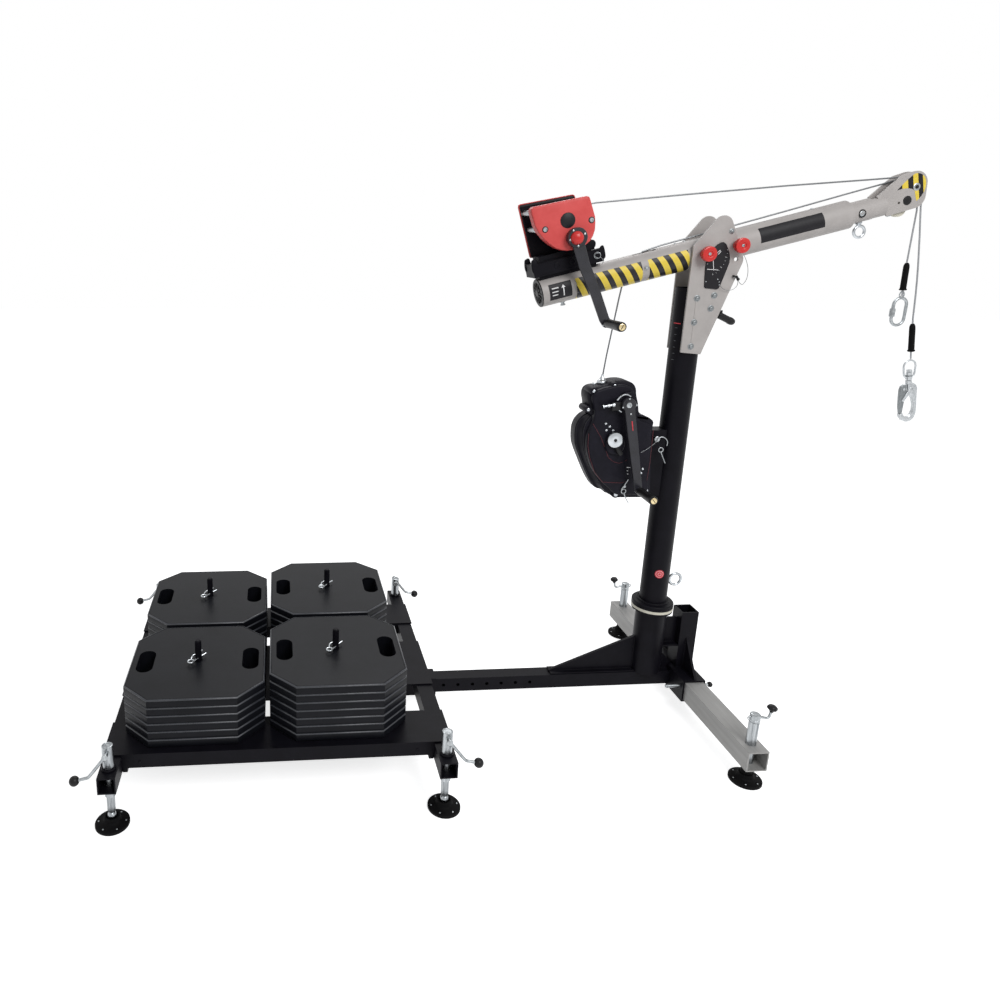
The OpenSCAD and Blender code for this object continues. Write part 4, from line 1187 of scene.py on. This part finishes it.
def boom_dressing():
    """Two lengths of hazard tape, a panel with an arrow, a bare panel and the boom's screws."""
    tape = Shape(BOOM)
    wrap(tape, -399, -191, -110, 30)
    wrap(tape, -169, -42, -110, 30)
    tape.done("hazard_tape", "boom", HAZARD, "black_plastic")
    panels = Shape(BOOM)
    wrap(panels, -484, -414, level(-26), level(22))
    wrap(panels, 185, 389, level(-14), level(30))
    panels.paint = 1
    wrap(panels, -441.6, -438.4, level(-19), level(7), 0.9, 6)
    point = [(-433.5, 6), (-440, 14.6), (-446.5, 6)]
    panels.skin([[on_boom(s, r, 0.3) for s, r in point], [on_boom(s, r, 0.9) for s, r in point]])
    for k, r in enumerate((9, -2, -12)):
        bar = [(-476, r - 1.6), (-455 - 2 * k, r - 1.6), (-455 - 2 * k, r + 1.6), (-476, r + 1.6)]
        panels.skin([[on_boom(s, q, 0.3) for s, q in bar], [on_boom(s, q, 0.8) for s, q in bar]])
    panels.done("boom_panels", "boom", [VINYL, PRINT], "black_plastic")
    screws = Shape(BOOM)
    button_bolt(screws, (-179, -BOOM_R, 0), NEAR, 9)
    screws.lathe((-435, 0, -43), DOWN, [(9, 0), (9, 2), (5.4, 2.6), (5.4, 8), (7.6, 8.6),
                                        (7.6, 12), (5, 13)], 20)
    for s in (-60, -30, 60, 380):
        button_bolt(screws, (s, 0, BOOM_R - 0.4), UP, 8, False)
    screws.done("boom_screws", "boom", ZINC, "zinc_steel")


def end_cap():
    """The ribbed plug in the boom's back end."""
    cap = Shape(BOOM)
    s = -504
    cap.lathe((s, 0, 0), (-1, 0, 0), [(36, -9), (36.2, 0), (43.4, 0.4), (43.6, 1.6), (42, 2.8), (33, 2.9),
                                      (32, 1.6), (10, 1.4)], 48)
    for k in range(12):
        a = k * pi / 6
        turn = Matrix.Rotation(a, 4, "X")
        cap.slab([(s - 4.6, 11), (s - 1, 11), (s - 1, 31.6), (s - 4.6, 31.6)], -1.6, 1.6,
                 0.5, lambda p: turn @ p)
    cap.lathe((s, 0, 0), (-1, 0, 0), [(11, 0), (11.4, 3.6), (9.6, 5.4), (3, 5.6)], 28)
    cap.done("ribbed_end_cap", "boom", ABS_BLACK, "black_plastic", ["boom_end_cap"])


# Outlines of the winch's red cover and back plate, along the boom and square to it, and the cover's screws.
RED_COVER = [(-505, 247), (-503, 255), (-495, 259.5), (-334, 252.4), (-327.6, 249), (-325.6, 243),
             (-319, 190), (-320.6, 172), (-325, 152), (-334, 135), (-346, 122), (-362, 114), (-388, 109.4),
             (-415, 111), (-433, 117), (-449, 126), (-466, 142), (-482, 162), (-494, 184), (-501, 206)]
BACK_PLATE = [(-512, 264), (-510, 271), (-505, 272.6), (-342, 263), (-337, 260), (-335, 254), (-322, 190),
              (-328, 140), (-345, 116), (-495, 106), (-501, 108), (-503, 113)]
COVER_SCREWS = ((-473, 188), (-332, 182))


def winch_housing():
    """The winch's red cover and its rimmed back plate, with cap and recessed screws, whose recesses are dark
    discs of painted shade.
    """
    red = Shape(BOOM)
    red.slab(RED_COVER, -64, -33, 4)
    red.slab(BACK_PLATE, 29.5, 34, 0.8)
    rim = inset(BACK_PLATE, 1.2)
    red.sweep(across(rim[:8], 27.5), 3.2, 8)
    red.done("winch_red_cover", "boom", POWDER_RED, "red_paint", ["winch_covers"])
    dark = Shape(BOOM)
    dark.slab(inset(BACK_PLATE, 3.2), 27.6, 30.5, 0.6)
    dark.lathe((-402, -63.6, 198), NEAR, [(22.4, 0), (22.4, 1.4), (21, 2.4), (1.5, 3.2)], 40)
    # Dark discs round the cover screws: painted shade standing for the recesses that the screws sit in.
    for s, r in COVER_SCREWS:
        dark.lathe((s, -63.7, r), NEAR, [(9.4, 0), (9.4, 0.4), (8.6, 0.7), (1, 0.8)], 28)
    dark.done("winch_cap", "boom", VINYL, "black_plastic")
    bright = Shape(BOOM)
    for s, r in COVER_SCREWS:
        bright.lathe((s, -64.2, r), NEAR, [(6.4, 0), (6.6, 2), (5.4, 3), (3.4, 3.1), (3.1, 1.2)], 24)
    for s, r in ((-497, 243), (-491, 192), (-340, 238)):
        bright.hexagon((s, 33.6, r), FAR, 13, 6)
        bright.lathe((s, -36, r), FAR, [(6, 0), (8.6, 2), (8.6, 56), (6, 58), (6, 62),
                                        (9, 62.6), (9, 64)], 24)
    bright.done("winch_screws", "boom", ZINC, "zinc_steel", ["winch_spacers"])


def bracket_details():
    """Lugs, slots and the clevis pin of the bracket that the winch slides on to."""
    lugs = Shape(BOOM)
    ear = [(-521, 68), (-523, 82), (-520, 102), (-514, 107), (-506, 107), (-503, 92), (-506, 68), (-514, 65)]
    tongue = [(-344, 96), (-344, 124), (-334, 127), (-324, 122), (-316, 118), (-313, 108), (-320, 96)]
    clevis = [(-310, 92), (-302, 99), (-296, 94), (-295, 66), (-302, 58), (-318, 58), (-320, 70)]
    for outline, y0, y1 in ((ear, -37, -27), (ear, 27, 37), (tongue, -24, -16), (clevis, -39, -33)):
        lugs.slab(rounded(outline, 3), y0, y1, 2)
    for low, high in (((-500, -39.2, 86), (-344, -37, 90.5)), ((-500, -39.2, 54), (-344, -37, 58)),
                      ((-480, -28.4, 96), (-352, -26, 99))):
        lugs.block(low, high, 1)
    for s in (-446, -398):
        lugs.lathe((s, -37.6, 74), NEAR, [(9, 0), (9, 1.6), (7.6, 2.4), (6.6, 2.3), (6.2, 0.8)], 24)
    lugs.done("winch_bracket_lugs", "boom", POWDER_BLACK, "black_paint")
    pin = Shape(BOOM)
    pin.lathe((-322, -38, 74), NEAR, [(8.4, 0), (8.6, 2), (7.4, 3), (5.6, 3.1), (5.2, 1.6)], 24)
    pin.ring((-322, -43, 74), (0.4, 1, 0), 9.5, 2, 24, 8)
    pin.done("winch_pin", "boom", ZINC, "zinc_steel")
    cord = Shape(BOOM)
    cord.sweep(smooth([(-316, -44, 68), (-311, -46, 62), (-309, -48, 54), (-312, -47, 47)], 4), 1.8, 8)
    cord.sweep(smooth([(-405, -45.4, 20), (-398, -46, 4), (-404, -45, -12), (-396, -44, -22)], 4), 1.2, 8)
    cord.done("winch_pin_wire", "boom", GREY_WIRE, "wire_rope")


WINCH_HUB = local(JOINTS["winch_crank_turn"]["pos_m"], BOOM)
WINCH_GRIP = local(JOINTS["winch_grip_spin"]["pos_m"], BOOM)


def winch_crank():
    """The winch's crank with its red hub dome, and the drum that it turns, wound with wire."""
    hub, grip = WINCH_HUB, WINCH_GRIP
    arm = Shape(BOOM)
    arm.lathe((hub.x, -30, hub.z), NEAR, [(9, -2), (9, 36), (27, 37), (29.4, 39), (29.4, 55), (27.6, 57),
                                          (20, 57.6), (12, 57.6)], 48)
    path = [(hub.x, -83.8, hub.z - 6, 38), (hub.x + 1, -84, hub.z - 30, 36),
            (hub.x + 6, -87.6, hub.z - 84, 34)]
    path += [(hub.x + 12, -90, hub.z - 112, 33), (hub.x + 22, -98, hub.z - 168, 31)]
    path += [(grip.x - 4, -104.6, grip.z + 12, 30), (grip.x, -107.6, grip.z, 30)]
    flat_bar(arm, path, 7.6, 1.4)
    arm.rod((grip.x, -116, grip.z), (grip.x, -99, grip.z), 24, 28)
    arm.rod((grip.x, -205, grip.z), (grip.x, -100, grip.z), 11.6, 16)
    arm.paint = 1
    rise = [radians(a) for a in (8, 22, 36, 50, 64, 78, 86)]
    dome = [(19.4, 0), (19.6, 3)] + [(19.2 * cos(a), 4 + 11 * sin(a)) for a in rise]
    arm.lathe((hub.x - 4, -87, hub.z), NEAR, dome, 36)
    arm.paint = 2
    for x, z in ((-11, 23), (-25, -1), (-4, -24), (21, 6)):
        arm.lathe((hub.x + x, -87.4, hub.z + z), NEAR, [(3, 0), (3.1, 1.4), (2, 2)], 16)
    arm.lathe((grip.x - 12, -107.4, grip.z - 4), NEAR, [(3, 0), (3.1, 1.2), (2, 1.8)], 16)
    turns = [(29 + 2.2 * abs(cos(pi * k / 4)), -22 + 1.25 * k) for k in range(29)]
    wound = [(20, -24)] + turns + [(20, 15)]
    arm.lathe((hub.x, 0, hub.z), FAR, wound, 40)
    arm.paint = 0
    for y in (-29, 15):
        arm.lathe((hub.x, y, hub.z), FAR, [(31, 0), (33, 0.6), (33, 2.6), (31, 3.2)], 40)
    finishes = [CRANK_BLACK, RED_NYLON, ZINC]
    arm.done("winch_crank_arm", "winch_crank_body", finishes, "black_paint", ["winch_crank"])
    place = BOOM @ Matrix.Translation((grip.x, 0, grip.z))
    crank_grip("winch_grip", "winch_grip_body", place, -213, -117, radians(-50))


boom_dressing()
end_cap()
winch_housing()
bracket_details()
winch_crank()

# ---------------------------------------------------------------- boom head
AXLE = Vector((703, 0, 33))
# The hazard sticker's outline on the head, along the boom and square to it.
HEAD_STICKER = [(640, 37), (664, 54), (688, 68), (700, 74), (711, 72.5), (721, 67.5), (729, 59), (733, 48),
                (733.5, 36), (731, 24), (725, 12), (717, 3), (708, -5), (700, -9), (698, 3), (696, 23),
                (689, 30), (676, 35), (657, 38)]
# Where the sticker's black and yellow bands begin and end along the boom.
BANDS = [(636, 657), (657, 676), (676, 693), (693, 709), (709, 724), (724, 746)]


def between(outline, low, high):
    """The part of an outline that lies between two distances along the boom."""
    for sign, limit in ((1, low), (-1, -high)):
        kept = []
        for a, b in zip(outline, outline[1:] + outline[:1]):
            da, db = sign * a[0] - limit, sign * b[0] - limit
            if da >= 0:
                kept.append(a)
            if da * db < 0:
                t = da / (da - db)
                kept.append((a[0] + (b[0] - a[0]) * t, a[1] + (b[1] - a[1]) * t))
        outline = kept
    return outline


def boom_head():
    """Hazard sticker, bare badge, axle nut, latch button, lifting eye and guard wheel of the head."""
    sticker = Shape(BOOM)
    for k, (low, high) in enumerate(BANDS):
        sticker.paint = k % 2
        piece = between(HEAD_STICKER, low, high)
        for y in (-HEAD_Y - 0.35, HEAD_Y - 0.35):
            sticker.skin([across(piece, y), across(piece, y + 0.7)])
    sticker.done("head_hazard_sticker", "inner_boom_body", [VINYL, YELLOW_VINYL], "black_plastic")
    badge = Shape(BOOM)
    badge.lathe((671, -HEAD_Y + 0.2, -1), NEAR, [(14, 0), (14, 0.6), (13.4, 0.9), (1, 0.9)], 40)
    badge.lathe((517, -31, -4), NEAR, [(13, -3), (13, 1), (12, 2.4), (9.4, 2.6), (8.8, 1.6), (8.4, 0)], 36)
    badge.lathe((AXLE.x, -HEAD_Y, AXLE.z), NEAR, [(6.2, 0), (6.2, 2.6), (5, 3.2), (1, 3.3)], 6)
    badge.done("head_badge", "inner_boom_body", ABS_BLACK, "black_plastic")
    pale = Shape(BOOM)
    for y, way in ((-HEAD_Y + 0.1, NEAR), (HEAD_Y - 0.1, FAR)):
        pale.lathe((AXLE.x, y, AXLE.z), way, [(11.4, 0), (11.6, 1), (10.6, 1.6), (6, 1.7)], 36)
    pale.hexagon((AXLE.x, HEAD_Y + 1.5, AXLE.z), FAR, 17, 8)
    pale.lathe((517, -31.4, -4), NEAR, [(8, 0), (8, 1.2), (6.6, 2), (3.2, 2.1), (2.8, 1)], 28)
    pale.rod((600, -19.6, 24), (600, 19.6, 24), 5, 16)
    pale.done("head_axle_fittings", "inner_boom_body", ZINC, "zinc_steel")
    eye = Shape(BOOM)
    eye.ring((527, 0, -62), (0, 1, 0), 17.5, 9, 36, 14)
    eye.lathe((527, 0, -32.4), DOWN, [(10, 0), (10.4, 3), (9, 5), (7.4, 6), (7, 13)], 28)
    eye.done("head_lifting_eye", "inner_boom_body", CHROME, "zinc_steel", ["boom_eye"])
    wheel = Shape(BOOM)
    wheel.lathe((655, -7, -21), FAR, [(4, 0), (24, 0), (25.4, 1.4), (23.4, 5), (22.6, 7), (23.4, 9),
                                      (25.4, 12.6), (24, 14), (4, 14)], 40)
    wheel.done("head_guard_wheel", "inner_boom_body", NYLON, "white_plastic")
    spindle = Shape(BOOM)
    spindle.rod((655, -18, -21), (655, 18, -21), 7.6, 16)
    spindle.block((606, -20.6, -35.4), (618, -15, -27), 1)
    spindle.done("head_wheel_spindle", "inner_boom_body", ZINC, "zinc_steel")


def sheaves():
    """The two grooved sheaves that the lines leave over."""
    wheels = Shape(BOOM)
    for y in (-8, 8):
        groove = [(31.6 - 2.6 * cos(radians(a)), 6 + 3.2 * sin(radians(a))) for a in (-70, -35, 0, 35, 70)]
        near_side = [(6.2, 0.6), (9, 0), (14, 0), (15, 1.4), (26, 1.4), (28, 0.2), (31.4, 0), (32, 1)]
        far_side = [(32, 11), (31.4, 12), (28, 11.8), (26, 10.6), (15, 10.6), (14, 12), (9, 12), (6.2, 11.4)]
        wheels.lathe((AXLE.x, y - 6, AXLE.z), FAR, near_side + groove + far_side, 48)
    wheels.paint = 1
    wheels.rod((AXLE.x, -20.4, AXLE.z), (AXLE.x, 20.4, AXLE.z), 11.8, 24)
    return wheels.done("head_sheaves", "sheaves", [ABS_BLACK, ZINC], "black_paint", ["tip_sheaves"])


boom_head()
sheaves()

# ---------------------------------------------------------------- light, floor and backdrop
def lamp(name, place, aim, size, power):
    """A rectangular area light aimed at a point."""
    data = bpy.data.lights.new(name, "AREA")
    data.shape = "RECTANGLE"
    data.size, data.size_y = size
    data.energy = power
    box = bpy.data.objects.new(name, data)
    bpy.context.scene.collection.objects.link(box)
    box.location = place
    box.rotation_euler = (Vector(aim) - Vector(place)).to_track_quat("-Z", "Y").to_euler()


lamp("key softbox", (1.4, -3.6, 4.0), (0, 0, 0.6), (2.4, 2.0), 125)
lamp("back softbox", (0.3, 3.0, 4.2), (0, 0, 0.8), (3.0, 1.5), 60)

world = bpy.data.worlds.new("white studio")
bpy.context.scene.world = world
world.use_nodes = True
room = world.node_tree
room.nodes.clear()


def seen(tree):
    """1 where a camera, mirror or see-through ray meets the surface, else 0."""
    rays = add(tree, "LightPath").outputs
    direct = add(tree, "Math", {"operation": "MAXIMUM"}, _0=rays["Is Camera Ray"],
                 _1=rays["Is Glossy Ray"]).outputs[0]
    return add(tree, "Math", {"operation": "MAXIMUM"}, _0=direct, _1=rays["Is Transmission Ray"]).outputs[0]


soft = add(room, "Background", Color=(0.95, 0.97, 1.0, 1), Strength=0.33).outputs[0]
white = add(room, "Background", Color=(1, 1, 1, 1), Strength=1.0).outputs[0]
add(room, "OutputWorld", Surface=add(room, "MixShader", _0=seen(room), _1=soft, _2=white).outputs[0])


PAPER_LIFT, FIBRES_PER_METRE = 0.75, 180.0


def studio_paper():
    """White paper. To the camera it shows a little brighter, so that only the object's shadow is grey."""
    mat = bpy.data.materials.new("white studio paper")
    mat.use_nodes = True
    tree = mat.node_tree
    tree.nodes.clear()
    spot = add(tree, "TexCoord").outputs["Object"]
    fibre = add(tree, "TexNoise", Vector=spot, Scale=FIBRES_PER_METRE, Detail=2.0).outputs[0]
    gloss = add(tree, "MapRange", _0=fibre, _3=0.75, _4=0.85).outputs[0]
    paper = add(tree, "BsdfPrincipled", Base_Color=linear("#F4F4F4"),
                Roughness=gloss, Specular_IOR_Level=0.1)
    lift = add(tree, "Math", {"operation": "MULTIPLY"}, _0=seen(tree), _1=PAPER_LIFT).outputs[0]
    glow = add(tree, "Emission", Color=(1, 1, 1, 1), Strength=lift)
    both = add(tree, "AddShader", _0=paper.outputs[0], _1=glow.outputs[0])
    add(tree, "OutputMaterial", Surface=both.outputs[0])
    return mat


floor_mesh = bmesh.new()
bmesh.ops.create_grid(floor_mesh, x_segments=4, y_segments=4, size=14)
floor_data = bpy.data.meshes.new("studio floor")
floor_mesh.to_mesh(floor_data)
floor_data.materials.append(studio_paper())
floor = bpy.data.objects.new("studio floor", floor_data)
floor.location.z = cad_low.z - 0.0005
bpy.context.scene.collection.objects.link(floor)

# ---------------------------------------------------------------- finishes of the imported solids
NODE_FINISH = {
    POWDER_BLACK: "main_beam mast_socket socket_gussets upright_socket cross_sleeve tray_side_tubes "
                  "tray_cross_tubes deck_plates beam_sleeve stack_rods mast_tube mast_collar srl_bracket "
                  "winch_bracket winch_crank srl_crank head_lever",
    # The jack tubes take the zinc whose light and dark streaks are painted reflections.
    TUBE_ZINC_PAINTED_REFLECTIONS: "rear_jack_tubes near_jack_tube far_jack_tube",
    GREY_WIRE: "winch_cable retrieval_cable riser_cable hook_line link_line",
    PLATE_BLACK: "odd_weight_plates even_weight_plates",
    POWDER_GREY: "cheek_plates boom_tube inner_boom",
    ANODISED: "near_leg far_leg",
    ZINC: "rod_clips near_front_crank far_front_crank near_outer_handle far_outer_handle "
          "near_inner_handle far_inner_handle mast_fittings leg_lock_pins winch_spacers boom_eye "
          "oval_link snap_hook",
    POWDER_RED: "winch_covers",
    RED_NYLON: "lock_knobs",
    ABS_BLACK: "angle_dial boom_end_cap winch_grip srl_grip tip_sheaves",
    CASE_BLACK: "srl_body",
    RUBBER: "near_front_foot far_front_foot near_inner_foot far_inner_foot near_outer_foot "
            "far_outer_foot",
    NYLON: "socket_ring",
}
for finish, names in NODE_FINISH.items():
    for name in names.split():
        data = frame["nodes"][name].data
        data.materials.clear()
        data.materials.append(finish)
